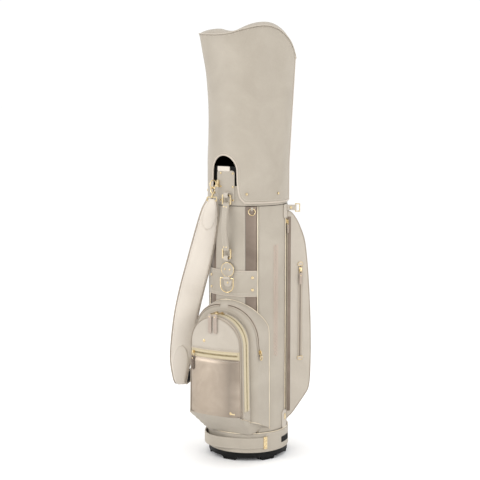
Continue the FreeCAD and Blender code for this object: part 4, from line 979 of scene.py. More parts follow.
def hood_radius(bearing, z):
    """Distance from the axis to the hood's wall, where its level section is an ellipse off the axis."""
    long_half, deep_half, shift = curve_value(HOOD_SECTIONS, z)
    a = math.radians(bearing - HOOD_LONG_BEARING)
    x, y = math.cos(a), math.sin(a)
    first = (x / long_half) ** 2 + (y / deep_half) ** 2
    second = -2.0 * x * shift / long_half ** 2
    third = (shift / long_half) ** 2 - 1.0
    return (-second + math.sqrt(second ** 2 - 4.0 * first * third)) / (2.0 * first)


def hood_rim(bearing):
    """Height of the sewn rim between wall and lid."""
    z = 1.2
    for _ in range(30):
        along = hood_radius(bearing, z) * math.cos(math.radians(bearing - HOOD_LONG_BEARING))
        z = (z + curve_value(HOOD_PROFILE, along)[0] - RIM_DROP) / 2.0
    return z


def hood_point(bearing, z, height=0.0):
    """A point on the hood's wall, with the soft hollows and puckers of fabric on a light frame."""
    radius = hood_radius(bearing, z)
    spot = at(bearing, radius, z)
    free = smoothstep((z - 0.80) / 0.12)
    below_rim = max(hood_rim(bearing) - z, 0.0)
    swell = 0.0016 * free * wobble(Vector((spot.x, spot.y, spot.z * 0.35)), 7.0, 11.0)
    swell += 0.0006 * free * wobble(spot, 24.0, 3.0)
    pucker = 0.0005 * math.exp(-below_rim / 0.012) * math.sin(bearing * 1.1 + 2.0 * wobble(spot, 18.0))
    return at(bearing, radius + height + swell + pucker, z)


def opening_outline():
    """(bearing, z) up one side of the arched opening and down the other."""
    right = [(curve_value(OPENING_FLARE, z)[0], z)
             for z in (0.752, 0.7535, 0.756, 0.760, 0.765, 0.771, 0.779, 0.789, 0.801, 0.815, 0.829)]
    for k in range(13):
        a = math.radians(90.0 * k / 12)
        right.append((OPENING_HALF * math.cos(a), OPENING_ARCH_Z + OPENING_CROWN * math.sin(a)))
    places = [(-x, z) for x, z in right] + [(x, z) for x, z in right[-2::-1]]
    out = []
    for x, z in places:
        out.append((OPENING_BEARING + math.degrees(math.asin(x / hood_radius(OPENING_BEARING, z))), z))
    return out


def hood_columns():
    """(bearing, foot height) of each upright line of the wall, round from the opening's left foot."""
    outline = opening_outline()
    start, end = outline[-1][0], outline[0][0] + 360.0
    around = [(lerp(start, end, k / 100), HOOD_HEM) for k in range(1, 100)]
    return outline + around


def make_hood_wall(columns):
    levels = 56
    rows = []
    for k in range(levels + 1):
        rows.append([hood_point(b, lerp(foot, hood_rim(b), k / levels)) for b, foot in columns])
    wall = sheet_piece("hood_wall", rows, ["ivory", "lining"], "hood", wrap=True, thickness=HOOD_WALL)
    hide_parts("hood_shell")


def make_hood_lid():
    """Saddle-shaped top of the hood, from the sewn rim in to one point."""
    rim = [hood_point(3.0 * k, hood_rim(3.0 * k)) for k in range(120)]
    long_way = round_way(HOOD_LONG_BEARING - 90.0)

    def crown(along):
        return curve_value(HOOD_PROFILE, along)[0] - RIM_DROP

    rows = []
    for share in (1.0, 0.985, 0.965, 0.94, 0.91, 0.87, 0.82, 0.76, 0.68, 0.58, 0.46, 0.33, 0.2, 0.08, 0.0):
        row = []
        for p in rim:
            flat = Vector((p.x * share, p.y * share, 0))
            along = flat.dot(long_way)
            left_end = smoothstep((-along - 0.040) / 0.045)
            saddle = math.exp(-((along + 0.040) / 0.032) ** 2)
            rise = LID_RISE * (1.0 - share ** 4) * (1.25 - 0.80 * saddle)
            rise += LEFT_END_RISE * left_end * (1.0 - share ** 8)
            rise += 0.0008 * wobble(flat, 16.0, 9.0) * (1.0 - share)
            off_rim = (p.z - crown(Vector((p.x, p.y, 0)).dot(long_way))) * share
            row.append(Vector((flat.x, flat.y, crown(along) + off_rim + rise)))
        rows.append(row)
    away = Vector((0, 0, 0.5))
    lid = sheet_piece("hood_lid", rows, ["ivory", "lining"], "hood", wrap=True,
                      thickness=HOOD_WALL, away=away)
    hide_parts("hood_shell")


def make_hood_trim(columns):
    """Piping in the hood's seams, the binding round its opening and hem, and its stitching."""
    around = [2.5 * k for k in range(144)]
    rim = [hood_point(b, hood_rim(b), 0.0006) + Vector((0, 0, 0.0004)) for b in around]
    tube("hood_rim_piping", rim, 0.0018, "ivory_light", "hood", closed=True)
    seam_lines = [[hood_point(b, hood_rim(b) - 0.0055, 0.0002) for b in around + [0.0]]]
    for name, bearing in (("right", HOOD_SEAM), ("left", HOOD_SEAM + 180.0)):
        run = span(HOOD_HEM + 0.004, hood_rim(bearing), 70)
        line = [hood_point(bearing, z, 0.0006) for z in run]
        tube(f"hood_seam_piping_{name}", line, 0.0016, "ivory_trim", "hood")
        for side in (-1, 1):
            seam_lines.append([hood_point(bearing + side * 2.6, z, 0.0002) for z in run])
    path = [Vector((math.radians(b) * HOOD_R, z, 0)) for b, z in columns]
    count = len(path)
    turn = Vector((2.0 * math.pi * HOOD_R, 0, 0))
    normals = []
    for k in range(count):
        before = path[k - 1] - (turn if k == 0 else Vector())
        after = path[(k + 1) % count] + (turn if k == count - 1 else Vector())
        run = (after - before).normalized()
        normals.append(Vector((-run.y, run.x, 0)))

    def beside(k, distance, height):
        spot = path[k] + normals[k] * distance
        return hood_point(math.degrees(spot.x / HOOD_R), spot.y, height)

    rows = [[beside(k, d / 1000.0, h / 1000.0) for k in range(count)] for d, h in BINDING_SECTION]
    binding = sheet_piece("hood_binding", rows, ["ivory_trim"], "hood", wrap=True)
    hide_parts("hood_binding")
    for distance, height in ((0.0036, 0.0011), (0.0085, 0.0002)):
        seam_lines.append([beside(k % count, distance, height) for k in range(count + 1)])
    stitches("hood_stitches", seam_lines, "hood")


def make_hood():
    columns = hood_columns()
    make_hood_wall(columns)
    make_hood_lid()
    make_hood_trim(columns)


# Ball pocket ---------------------------------------------------------------------------------------

LOWER = dict(half=0.103, foot=0.105, arch=0.372, front=-0.143)
UPPER = dict(half=0.084, foot=0.090, arch=0.355, front=-0.185)
FACE = dict(half=0.080, foot=0.084, arch=0.356)
LOWER_ROUND = 0.022
BODY_CONTACT = 0.1171
FACE_BULGE_R, FACE_FRONT = 0.310, -0.203
FACE_CENTRE_Y = FACE_FRONT + FACE_BULGE_R
OUTLINE_FOOT = 0.060            # height where an outline reaches its foot width
OUTLINE_SHARES = span(0.0, 1.0, 96)
SIDE_FOOT, SIDE_FOOT_GRADE = (-0.0786, 0.105), 0.41
SIDE_FOLD = (0.088, 2.0)
FACE_ZIP_Z = (0.318, 0.344)


def slope_z(y, x=0.0):
    """Height of the pocket's bottom, which slopes up to the front and folds up to its side edges."""
    front = 0.086 - (0.152 - 0.086) / (0.192 - 0.119) * (y + 0.119)
    edge = SIDE_FOOT[1] + SIDE_FOOT_GRADE * (SIDE_FOOT[0] - y)
    side = edge - max(SIDE_FOLD[0] - abs(x), 0.0) * SIDE_FOLD[1]
    return max(0.0838, front, side)


def outline_point(spec, share, inset, foot_z):
    """A point of a round-topped outline and the way outwards. share is 0 at its left foot, 1 at its right."""
    half, arch = spec["half"] - inset, spec["arch"]
    lean = spec["foot"] - spec["half"]
    leg, curve = arch - foot_z, math.pi * spec["half"]
    run = share * (2.0 * leg + curve)
    if leg <= run <= leg + curve:
        a = math.pi * (1.0 - (run - leg) / curve)
        out = Vector((math.cos(a), 0, math.sin(a)))
        return Vector((0, 0, arch)) + out * half, out
    side = -1 if run < leg else 1
    down = leg - run if run < leg else run - leg - curve
    x = half + lean * down / (arch - OUTLINE_FOOT)
    return Vector((side * x, 0, arch - down)), Vector((side, 0, 0))


def outline_row(spec, y, foot_z, inset=0.0, lift=0.0):
    """A pocket outline's points in the upright plane at y, with its feet at foot_z."""
    row = []
    for share in OUTLINE_SHARES:
        spot, out = outline_point(spec, share, inset, foot_z)
        row.append(Vector((spot.x, y, spot.z)) + out * lift)
    return row


def bulge_y(x):
    """Where the bulging face stands, at x."""
    return FACE_CENTRE_Y - math.sqrt(FACE_BULGE_R ** 2 - x * x)


def body_y(x, radius):
    """Where the round body's front is, at x."""
    return -math.sqrt(max(radius ** 2 - min(abs(x), 0.1) ** 2, 0.0))


def lower_front(x):
    """Where the lower bag's front stands, with its rounded side edges."""
    over = abs(x) - (LOWER["foot"] - LOWER_ROUND)
    if over <= 0.0:
        return LOWER["front"]
    return LOWER["front"] + LOWER_ROUND - math.sqrt(max(LOWER_ROUND ** 2 - over * over, 0.0))


def pocket_foot_line(side):
    """The bottom edge of the pocket's side, from the body round both bags to the face."""
    lower = LOWER["foot"] - 0.0003
    places = [(lower, lerp(-0.054, LOWER["front"] + LOWER_ROUND, k / 12)) for k in range(12)]
    for degrees in span(0.0, 84.0, 8):
        x = lower - LOWER_ROUND * (1.0 - math.cos(math.radians(degrees)))
        places.append((x, lower_front(x)))
    places += [(UPPER["foot"] - 0.0002, y) for y in span(LOWER["front"] - 0.002, UPPER["front"], 10)]
    places += [(FACE["foot"], y) for y in span(UPPER["front"], bulge_y(FACE["foot"]), 3)[1:]]
    return [Vector((side * x, y, slope_z(y, x) + 0.0006)) for x, y in places]


def pocket_bottom(name, rows, away_y):
    """The sloping underside of a bag, from rows of (x, y) places."""
    spots = [[Vector((x, y, slope_z(y, x) + 0.0001)) for x, y in row] for row in rows]
    return sheet_piece(name, spots, ["ivory"], "bag", away=Vector((0, away_y, 0.5)))


def make_lower_bag():
    """Deep bag: gusset, rounded shoulder and the part of its front that shows round the upper bag."""
    foot, flat = LOWER["foot"], LOWER["front"]
    front = flat + LOWER_ROUND
    rows = []
    for depth in (0.0, 0.04, 0.12, 0.25, 0.4, 0.55, 0.7, 0.85, 1.0):
        row = []
        free = math.sin(math.pi * depth)
        for share in OUTLINE_SHARES:
            probe, _ = outline_point(LOWER, share, 0.0, 0.1)
            back = body_y(probe.x, BODY_CONTACT)
            y = lerp(back, min(front, back - 0.001), depth)
            spot, out = outline_point(LOWER, share, 0.0, slope_z(y, foot))
            spot.y = y
            sag = 0.0028 * smoothstep(abs(front - back) / 0.06) + 0.0011 * wobble(spot, 26.0, 4.0)
            row.append(spot + out * (sag * free))
        rows.append(row)
    for k in range(1, 8):
        roll = math.radians(90.0 * k / 7)
        inset = LOWER_ROUND * (1.0 - math.cos(roll))
        y = flat + LOWER_ROUND * (1.0 - math.sin(roll))
        rows.append(outline_row(LOWER, y, slope_z(y, foot - inset), inset))
    for inset in (0.026, 0.031, 0.037, 0.044, 0.052):
        rows.append(outline_row(LOWER, flat, slope_z(flat, foot - inset), inset))
    bag = sheet_piece("ball_pocket_lower", rows, ["ivory"], "bag", away=Vector((0, 0, 0.3)))
    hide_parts("ball_pocket_lower")
    reach = foot - 0.0004
    under = []
    for k in range(19):
        row = []
        for x in span(-reach, reach, 60):
            row.append((x, lerp(-math.sqrt(BODY_CONTACT ** 2 - x * x), lower_front(x), k / 18)))
        under.append(row)
    pocket_bottom("ball_pocket_lower_bottom", under, -0.12)


def make_lower_bag_trim():
    """Piping along the lower bag's foot and round its join with the body, and its stitching."""
    foot, flat = LOWER["foot"], LOWER["front"]
    for side, name in SIDES:
        tube("ball_pocket_foot_piping_" + name, pocket_foot_line(side), 0.0010, "gold_piping", "bag", sides=7)
    seam = []
    for share in OUTLINE_SHARES:
        spot, out = outline_point(LOWER, share, 0.0, slope_z(-0.052, foot))
        spot.y = body_y(spot.x, 0.1168) - 0.0012
        seam.append(spot + out * 0.0003)
    tube("ball_pocket_body_piping", seam, 0.0014, "gold_piping", "bag")
    inset = 0.0265
    line = outline_row(LOWER, flat - 0.0002, slope_z(flat, foot - inset), inset)
    stitches("ball_pocket_lower_stitches", [line], "bag")


def make_upper_bag():
    """Shallower bag on the front: a gusset for its zip, and the rim of the bulging face."""
    front, foot = UPPER["front"], UPPER["foot"]
    places = []
    for depth in (0.0, 0.03, 0.1, 0.25, 0.36, 0.68, 0.8, 0.9, 0.96, 1.0):
        places.append((lerp(-0.1433, front, depth), 0.0012 if depth in (0.0, 1.0) else 0.0))
    places += [(front - 0.0002, 0.0035), (front - 0.0004, 0.0042)]
    rows = [outline_row(UPPER, y, slope_z(y, foot - inset), inset) for y, inset in places]
    bag = sheet_piece("ball_pocket_upper", rows, ["ivory"], "bag", away=Vector((0, -0.16, 0.3)))
    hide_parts("ball_pocket_upper")
    rows = []
    for depth in (0.0, 0.3, 0.6, 0.85, 1.0):
        row = []
        for share in OUTLINE_SHARES:
            probe, _ = outline_point(FACE, share, 0.0, slope_z(-0.192))
            y = lerp(front - 0.0003, bulge_y(probe.x) + 0.003, depth)
            spot, out = outline_point(FACE, share, 0.0, slope_z(y))
            spot.y = y
            row.append(spot + out * (0.0012 * math.sin(math.pi * depth)))
        rows.append(row)
    rim = sheet_piece("face_rim", rows, ["ivory_trim"], "bag", away=Vector((0, -0.16, 0.3)))
    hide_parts("face_rim")


def make_upper_bag_trim():
    """Piping and stitching round the upper bag, and its sloping bottom."""
    front, foot = UPPER["front"], UPPER["foot"]
    cord = outline_row(UPPER, front - 0.0012, slope_z(front, foot), 0.0022)
    tube("upper_bag_piping", cord, 0.0019, "piping", "bag")
    edge = []
    for share in OUTLINE_SHARES:
        spot, out = outline_point(FACE, share, 0.0004, slope_z(-0.196))
        spot.y = bulge_y(spot.x) + 0.0022
        edge.append(spot + out * 0.0006)
    tube("face_piping", edge, 0.0017, "piping", "bag")
    under = []
    for y in span(LOWER["front"] + 0.001, -0.1965, 14):
        half = 0.0885 if y > front else 0.0825
        under.append([(x, y) for x in span(-half, half, 44)])
    pocket_bottom("ball_pocket_upper_bottom", under, -0.17)
    lines = []
    for y, foot_y in ((front + 0.0045, front + 0.004), (-0.1475, -0.1475)):
        lines.append(outline_row(UPPER, y, slope_z(foot_y, foot), lift=0.0002))
    stitches("upper_bag_stitches", lines, "bag")


def face_half_width(z):
    over = z - FACE["arch"]
    if over <= 0.0:
        return FACE["half"] - (FACE["foot"] - FACE["half"]) * over / (FACE["arch"] - OUTLINE_FOOT)
    return math.sqrt(max(FACE["half"] ** 2 - over ** 2, 0.0))


def crumple(p, size):
    """Ridged folds of foil-faced leather."""
    flat = Vector((p.x, p.z, 0.0))
    bend = Vector((wobble(flat, 17.0, 2.0), wobble(flat, 17.0, 8.0), 0.0)) * 0.012
    ridge = 1.0 - abs(wobble(flat + bend, 34.0, 5.0)) * 2.2
    broad = wobble(flat + bend, 13.0, 1.0)
    return size * (0.65 * ridge + 0.7 * broad)


def face_piece(name, low, high, mat, crush, pads, rows_up, node):
    """A slice of the bulging face. pads is how far it stands out between its seams."""
    rows = []
    for z in span(low, high, rows_up):
        half = max(face_half_width(z) - 0.0012, 0.0006)
        row = []
        for t in span(-1.0, 1.0, 48):
            x = half * math.sin(t * math.pi / 2) if abs(t) < 1.0 else half * t
            edge = half - abs(x)
            near = smoothstep(min(edge, z - low, high - z) / 0.012)
            y = bulge_y(x) + 0.0024 * (1.0 - smoothstep(edge / 0.0045))
            y -= pads * near + (crumple(Vector((x, 0, z)), crush) * near if crush else 0.0)
            y -= 0.0003 * wobble(Vector((x, y, z)), 40.0, 6.0) * near
            row.append(Vector((x, y, z)))
        rows.append(row)
    piece = sheet_piece(name, rows, [mat], "bag", away=Vector((0, -0.1, 0.3)))
    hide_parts(node)
    return piece


def across_face(z, half, proud):
    """A level line across the bulging face, standing proud of it."""
    return [Vector((x, bulge_y(x) - proud, z)) for x in span(-half, half, 40)]


def make_face():
    """Leather above the zip, crushed metallic leather below it, and the gold zip tape between."""
    low, high = FACE_ZIP_Z
    top = FACE["arch"] + FACE["half"] - 0.0012
    foot = slope_z(-0.1935)
    face_piece("face_upper", high + 0.0002, top, "ivory_light", 0.0, 0.0012, 30, "face_upper")
    face_piece("face_metallic", foot, low - 0.0002, "champagne", 0.0004, 0.0030, 74, "face_metallic")
    face_piece("face_zip_band", low, high, "zip_tape", 0.0, -0.0004, 6, "face_zip_tape")
    middle = (low + high) / 2
    points = across_face(middle, 0.074, -0.0002)
    outs = [Vector((p.x, p.y - FACE_CENTRE_Y, 0)).normalized() for p in points]
    zip_run("face_zip", points, outs, 0.0085, "bag")
    half = face_half_width(middle) - 0.003
    stitches("face_stitches", [across_face(z, half, 0.0013) for z in (low - 0.0035, high + 0.0035)], "bag")
    tube("face_zip_fold_foot", across_face(low + 0.0006, half, 0.0004), 0.0013, "champagne", "bag")
    tube("face_zip_fold_top", across_face(high - 0.0006, half, 0.0004), 0.0013, "ivory_trim", "bag")


def make_upper_zip():
    """Zip round the gusset of the upper bag."""
    y = -0.165
    points, outs = [], []
    for k in range(101):
        spot, out = outline_point(UPPER, k / 100, 0.0, 0.168)
        points.append(Vector((spot.x, y, spot.z)) + out * 0.0003)
        outs.append(out)
    piece = zip_run("upper_zip", points, outs, 0.0145, "bag")
    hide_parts("upper_zip_chain")


LOWER_ZIP_FOOT_Z = 0.320


def make_lower_zips():
    """The zips that run down both rounded shoulders of the lower bag."""
    half, arch = LOWER["half"], LOWER["arch"]
    arc_length, leg = math.radians(90.0) * half, arch - LOWER_ZIP_FOOT_Z
    start = math.radians(9.0) * half
    for side, name in ((1, "right"), (-1, "left")):
        points, outs = [], []
        for share in span(0.0, 1.0, 44):
            run = start + share * (arc_length + leg - start)
            angle = min(run, arc_length) / half
            drop = max(run - arc_length, 0.0)
            radial = Vector((math.sin(angle) * side, 0, math.cos(angle)))
            roll = math.radians(lerp(27.0, 90.0, share))
            out = radial * math.sin(roll) + Vector((0, -math.cos(roll), 0))
            middle = radial * (half - LOWER_ROUND) + Vector((0, LOWER["front"] + LOWER_ROUND, arch - drop))
            points.append(middle + out * (LOWER_ROUND + 0.0005))
            outs.append(out)
        piece = zip_run("lower_zip_" + name, points, outs, 0.0052, "bag", chain=0.0017, **COIL_ZIP)
        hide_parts("lower_zip_chains")
    flip = Matrix.Diagonal((-1.0, 1.0, 1.0, 1.0))
    for node in ("lower_zip_slider", "lower_zip_pull"):
        copy = copy_of(node, node + "_left_side", flip, "bag", "gold")
        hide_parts("lower_zip_chains")


def make_top_tab():
    """Leather tab with a round-ended garage across the top seam of the two bags."""
    radius = UPPER["half"] + 0.0002

    def place(u, v, height):
        a, reach = u / radius, radius + height
        return Vector((reach * math.sin(a), -0.152 - v, UPPER["arch"] + reach * math.cos(a)))

    outline = rounded_outline(math.radians(22.0) * radius, 0.015, 0.003)
    tab = sewn_plate("pocket_top_tab", outline, place, 0.002, "ivory_light", 0.0026,
                     edge=0.0007, crown=0.0002)
    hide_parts("pocket_top_tab")


# Side pocket ---------------------------------------------------------------------------------------

SIDE_BEARING = 134.0
SIDE_HALF = 0.058
SIDE_PROFILE = (                # distance out and height, from the foot to the head
    (0.088, 0.094), (0.103, 0.106), (0.1185, 0.118), (0.134, 0.1375), (0.149, 0.158), (0.1605, 0.1745),
    (0.1695, 0.189), (0.1740, 0.208), (0.1760, 0.232), (0.1772, 0.275), (0.1775, 0.330), (0.1755, 0.415),
    (0.171, 0.500), (0.1665, 0.560), (0.1605, 0.615), (0.1550, 0.643), (0.146, 0.668), (0.134, 0.694),
    (0.118, 0.716), (0.103, 0.7235), (0.088, 0.727),
)
SIDE_ZIP_OUT = 0.142
SIDE_ZIP_Z = (0.290, 0.562)
SIDE_ROUND = 0.009
SIDE_WALL = -SIDE_HALF - 0.0003
SIDE_BODY_R = 0.1157            # the round body, where the pocket meets it
SIDE_CONTACT = math.sqrt(SIDE_BODY_R ** 2 - SIDE_HALF ** 2)


def side_world(out, across, z):
    """A point of the side pocket from its place out from the axis and across the pocket."""
    a = math.radians(SIDE_BEARING - 90.0)
    return Vector((out * math.cos(a) - across * math.sin(a), out * math.sin(a) + across * math.cos(a), z))


def side_section(out):
    """Places round the pocket at a point of its profile: near wall, front and far wall."""
    half = SIDE_HALF
    front = max(out, SIDE_CONTACT + 0.0006)
    r = min(SIDE_ROUND, max(front - SIDE_CONTACT, 0.0) * 0.8 + 0.0002)
    wall = [(o, -half) for o in span(SIDE_CONTACT, front - r, 8)]
    for k in range(1, 6):
        a = math.radians(90.0 * k / 6)
        wall.append((front - r + r * math.sin(a), -half + r - r * math.cos(a)))
    crown = 0.0034 * smoothstep((out - 0.12) / 0.03)
    face = [(front + crown * (1.0 - t * t), t * (half - r)) for t in span(-1.0, 1.0, 24)]
    far_wall = [(o, -a) for o, a in wall[::-1]]
    return [(max(o, math.sqrt(max(SIDE_BODY_R ** 2 - a * a, 0.0))), a) for o, a in wall + face + far_wall]


def side_profile_points(steps):
    """Even steps up the smooth profile of the pocket."""
    keyed = [(float(k), out, z) for k, (out, z) in enumerate(SIDE_PROFILE)]
    return [curve_value(keyed, (len(keyed) - 1) * k / steps) for k in range(steps + 1)]


def side_soft(out, across, z):
    """The pocket's fabric: walls that draw in a little between their seams and a softly uneven front."""
    spot = side_world(out, across, z)
    if abs(across) > SIDE_HALF - 0.0005:
        beside_zip = across < 0 and 0.27 < z < 0.58
        free = smoothstep((abs(out - SIDE_ZIP_OUT) - 0.008) / 0.01) if beside_zip else 1.0
        draw = 0.0012 * wobble(spot, 20.0, 2.0) * free
        return side_world(out, across - math.copysign(abs(draw), across), z)
    swell = 0.0013 * wobble(Vector((spot.x, spot.y, spot.z * 0.6)), 15.0, 7.0) + 0.0005 * wobble(spot, 42.0, 1.0)
    keep = smoothstep((SIDE_HALF - abs(across)) / 0.02)
    return side_world(out + swell * keep, across, z)


def make_side_pocket():
    """Long bulging pocket on the right, with piping round its front and where it meets the body."""
    profile = side_profile_points(110)
    rows = [[side_soft(o, a, z) for o, a in side_section(out)] for out, z in profile]
    pocket = sheet_piece("side_pocket", rows, ["ivory_light"], "bag", away=side_world(0.05, 0.0, 0.4))
    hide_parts("side_pocket")
    lines = []
    roll = math.radians(50.0)
    for side, name in ((-1, "near"), (1, "far")):
        cord, line = [], []
        for out, z in profile:
            if out < SIDE_CONTACT + 0.004:
                continue
            r = min(SIDE_ROUND, (out - SIDE_CONTACT) * 0.8 + 0.0002)
            proud = r + 0.0004
            across = side * (SIDE_HALF - r + proud * math.cos(roll))
            cord.append(side_world(out - r + proud * math.sin(roll), across, z))
            line.append(side_soft(out + 0.0005, side * (SIDE_HALF - r - 0.003), z))
        tube(f"side_pocket_piping_{name}", cord, 0.0018, "piping", "bag")
        lines.append(line)
    base_out = math.sqrt(0.1160 ** 2 - SIDE_HALF ** 2) + 0.0016
    for side, name in ((-1, "near"), (1, "far")):
        cord = [side_world(base_out, side * (SIDE_HALF + 0.0006), z) for z in span(0.105, 0.722, 60)]
        tube(f"side_pocket_base_piping_{name}", cord, 0.0014, "piping", "bag")
    foot, head = SIDE_ZIP_Z
    for out in (SIDE_ZIP_OUT - 0.0085, SIDE_ZIP_OUT + 0.0085):
        lines.append([side_world(out, SIDE_WALL, z) for z in span(foot - 0.004, head + 0.004, 30)])
    stitches("side_pocket_stitches", lines, "bag")


def make_side_zip():
    """Zip in the side pocket's near wall, its leather ends, and the metallic strip in that wall."""
    out_of_wall, right = at(SIDE_BEARING - 90.0, 1.0, 0.0), round_way(SIDE_BEARING - 90.0)
    foot, head = SIDE_ZIP_Z
    points = [side_world(SIDE_ZIP_OUT, SIDE_WALL, z) for z in span(foot, head, 40)]
    piece = zip_run("side_zip", points, [out_of_wall] * 41, 0.0062, "bag", chain=0.0015, **COIL_ZIP)
    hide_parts("body_zip_chains")
    strip = []
    for share, height in ((0.0, 0.0), (0.08, 0.0008), (0.5, 0.0010), (0.92, 0.0008), (1.0, 0.0)):
        out = lerp(*GUSSET_EDGES, share)
        strip.append([side_world(out, SIDE_WALL - height, z) for z in span(0.128, 0.706, 60)])
    sheet_piece("side_pocket_gusset_strip", strip, ["bronze"], "bag")
    outline = rounded_outline(0.0155, 0.0105, (0.001, 0.0065, 0.0065, 0.001))
    for name, z, turn in (("foot", foot - 0.0045, -1), ("head", head + 0.0045, 1)):
        origin = side_world(SIDE_ZIP_OUT, -SIDE_HALF - 0.0002, z)
        place = on_plane(origin, right * turn, Vector((0, 0, turn)), out_of_wall)
        patch = sewn_plate(f"side_zip_end_{name}", outline, place, 0.0019, "ivory_trim", 0.0022, 0.0,
                           dict(pitch=0.003, length=0.002), edge=0.0006)
        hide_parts("zip_end_patches")
        rim = [place(x, y, 0.0017) for x, y in outline]
        tube(f"side_zip_end_{name}_rim", rim, 0.0008, "gold", "bag", closed=True)


GUSSET_EDGES = (0.1024, 0.1128)
LONG_ZIP_BEARING = 100.9
LONG_ZIP_Z = (0.137, 0.703)
STRIP_PATCH = (0.11545, 0.1182)


def make_long_zip():
    """Full-length zip in the strip beside the side pocket, and the patches over its two ends."""
    inner, outer = STRIP_PATCH
    out = at(LONG_ZIP_BEARING, 1.0, 0.0)
    points = upright_line(LONG_ZIP_BEARING, STRIP_OUT + 0.0001, *LONG_ZIP_Z, 60)
    piece = zip_run("long_zip", points, [out] * 61, 0.0044, "bag", "beige_tape", 0.0018, cord="gold_piping")
    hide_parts("body_zip_chains")
    spans = {                   # foot and head, first and last bearing, corner radius at the head, CAD node
        "long_zip_garage": (0.083, 0.1365, 87.0, 103.0, 0.0125, "zip_end_patches"),
        "umbrella_patch": (0.7036, 0.744, 90.0, 103.0, 0.0055, "umbrella_strap"),
    }
    for name, (low, high, first, last, top, node) in spans.items():
        width = math.radians(last - first) * inner
        outline = rounded_outline(width, high - low, (0.0055, top, top, 0.0055))
        place = on_cylinder((first + last) / 2, (low + high) / 2, inner)
        patch = sewn_plate(name, outline, place, outer - inner, "ivory_light", 0.0028,
                           edge=0.0009, crown=0.0001, rings=7)
        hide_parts(node)
    place = on_cylinder(95.5, 0.116, outer + 0.0004)
    ring = [place(0.0042 * math.cos(a), 0.0085 * math.sin(a), 0.0) for a in full_turn(36)]
    tube("long_zip_garage_eyelet", ring, 0.0013, "gold", "bag", closed=True)


# Zip pulls -----------------------------------------------------------------------------------------

UPPER_PULL_REACH = 0.0906       # from the middle of the upper bag's arch to the sliders' eyes


def turned_frame(degrees, centre, shift=(0.0, 0.0, 0.0)):
    """Carries a point built on a wall facing -Y: moved first, and then turned about an upright line."""
    a = math.radians(degrees)
    c, s = math.cos(a), math.sin(a)
    middle, move = Vector(centre), Vector(shift)

    def place(x, y, z):
        p = Vector((x, y, z)) + move - middle
        return Vector((p.x * c - p.y * s, p.x * s + p.y * c, p.z)) + middle

    return place


def make_pull(body, place, width, low, high, back, thick, link, mat="pull"):
    """A zip pull: a wire link through the slider's eye, and a stitched leather tab with a rivet."""
    middle = (low + high) / 2
    outline = rounded_outline(width, high - low, (width * 0.48, 0.0016, 0.0016, width * 0.48))

    def on_tab(u, v, height):
        return place(u, back - height, middle + v)

    tab = plate(body + "_tab", outline, on_tab, thick, mat, body, edge=0.0006, crown=0.0002)
    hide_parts(body)
    half, pin_y, pin_z, far_y, far_z = link
    corners = [place(-half, pin_y, pin_z), place(half, pin_y, pin_z), place(half, far_y, far_z)]
    corners.append(place(-half, far_y, far_z))
    tube(body + "_link", resample(corners, 0.0012, closed=True), 0.00085, "gold", body, closed=True)
    out = (on_tab(0, 0, 1.0) - on_tab(0, 0, 0.0)).normalized()
    stud(body + "_rivet", on_tab(0, (high - low) / 2 - 0.0078, thick), out, 0.0017, 0.0009, "gold", body)
    line = plate_stitches(outline, on_tab, 0.0014, thick + 0.0001)
    stitches(body + "_stitches", [line], body, pitch=0.0026, length=0.0018, radius=0.0003)


def make_pulls():
    """Leather pulls on the face zip, both sliders of the upper zip, the side zip and the long zip."""
    face = turned_frame(-12.6, (0.0, FACE_CENTRE_Y, 0.0))
    pin_y, pin_z = FACE_FRONT - 0.0057, sum(FACE_ZIP_Z) / 2 - 0.0014
    # the face zip's pull takes the darker leather: dark brown, with painted shade for a pull in shadow
    make_pull("face_zip_pull", face, 0.008, pin_z - 0.050, pin_z - 0.009, pin_y + 0.0012, 0.0024,
              (0.0032, pin_y, pin_z, pin_y, pin_z - 0.0100), "pull_dark")
    front = FACE_FRONT - 0.0026
    for side, name in SIDES:
        a = math.radians(5.5 * side)
        x, z = UPPER_PULL_REACH * math.sin(a), 0.355 + UPPER_PULL_REACH * math.cos(a)
        straight = turned_frame(0.0, (0, 0, 0), (x, 0, z))
        make_pull("upper_zip_pull_" + name, straight, 0.011, -0.054, 0.0016, front, 0.003,
                  (0.0036, -0.169, 0.0, front - 0.0012, 0.0))
    side_wall = turned_frame(44.0, (0, 0, 0), (SIDE_ZIP_OUT, -0.0597, 0.550))
    strip = turned_frame(100.9, (0, 0, 0), (0.0, -0.1161, 0.694))
    for body, place, low in (("side_zip_pull", side_wall, -0.044), ("long_zip_pull", strip, -0.036)):
        make_pull(body, place, 0.009, low, -0.010, -0.0036, 0.0026,
                  (0.0036, -0.0049, -0.001, -0.0049, -0.0115))


# Handle and rings ----------------------------------------------------------------------------------

HANDLE_Y = -0.126
HANDLE_TOP_Z, HANDLE_FOOT_Z = 0.776, 0.596
HANDLE_BACK_Y, HANDLE_BOW = -0.1218, 0.0128
HANDLE_THICK = 0.0094
RING_OFFSET = 0.0128
DRING_Y, DRING_Z = -0.1257, 0.538


def ring_band(name, centre, across, out, radius_out, half_width, thickness, square=False):
    """A band of leather folded round a bar that runs along across."""
    up = across.cross(out)
    spots = []
    for a in full_turn(32):
        c, s = math.cos(a), math.sin(a)
        stretch = 1.0 / max(abs(c) ** 6 + abs(s) ** 6, 1e-6) ** (1.0 / 6.0) if square else 1.0
        way = out * c + up * s
        spots.append((centre + way * ((radius_out - thickness) * stretch), across, way))
    return sweep(name, spots, strip_profile(half_width, thickness, 0.0001), "ivory_light", "bag", closed=True)


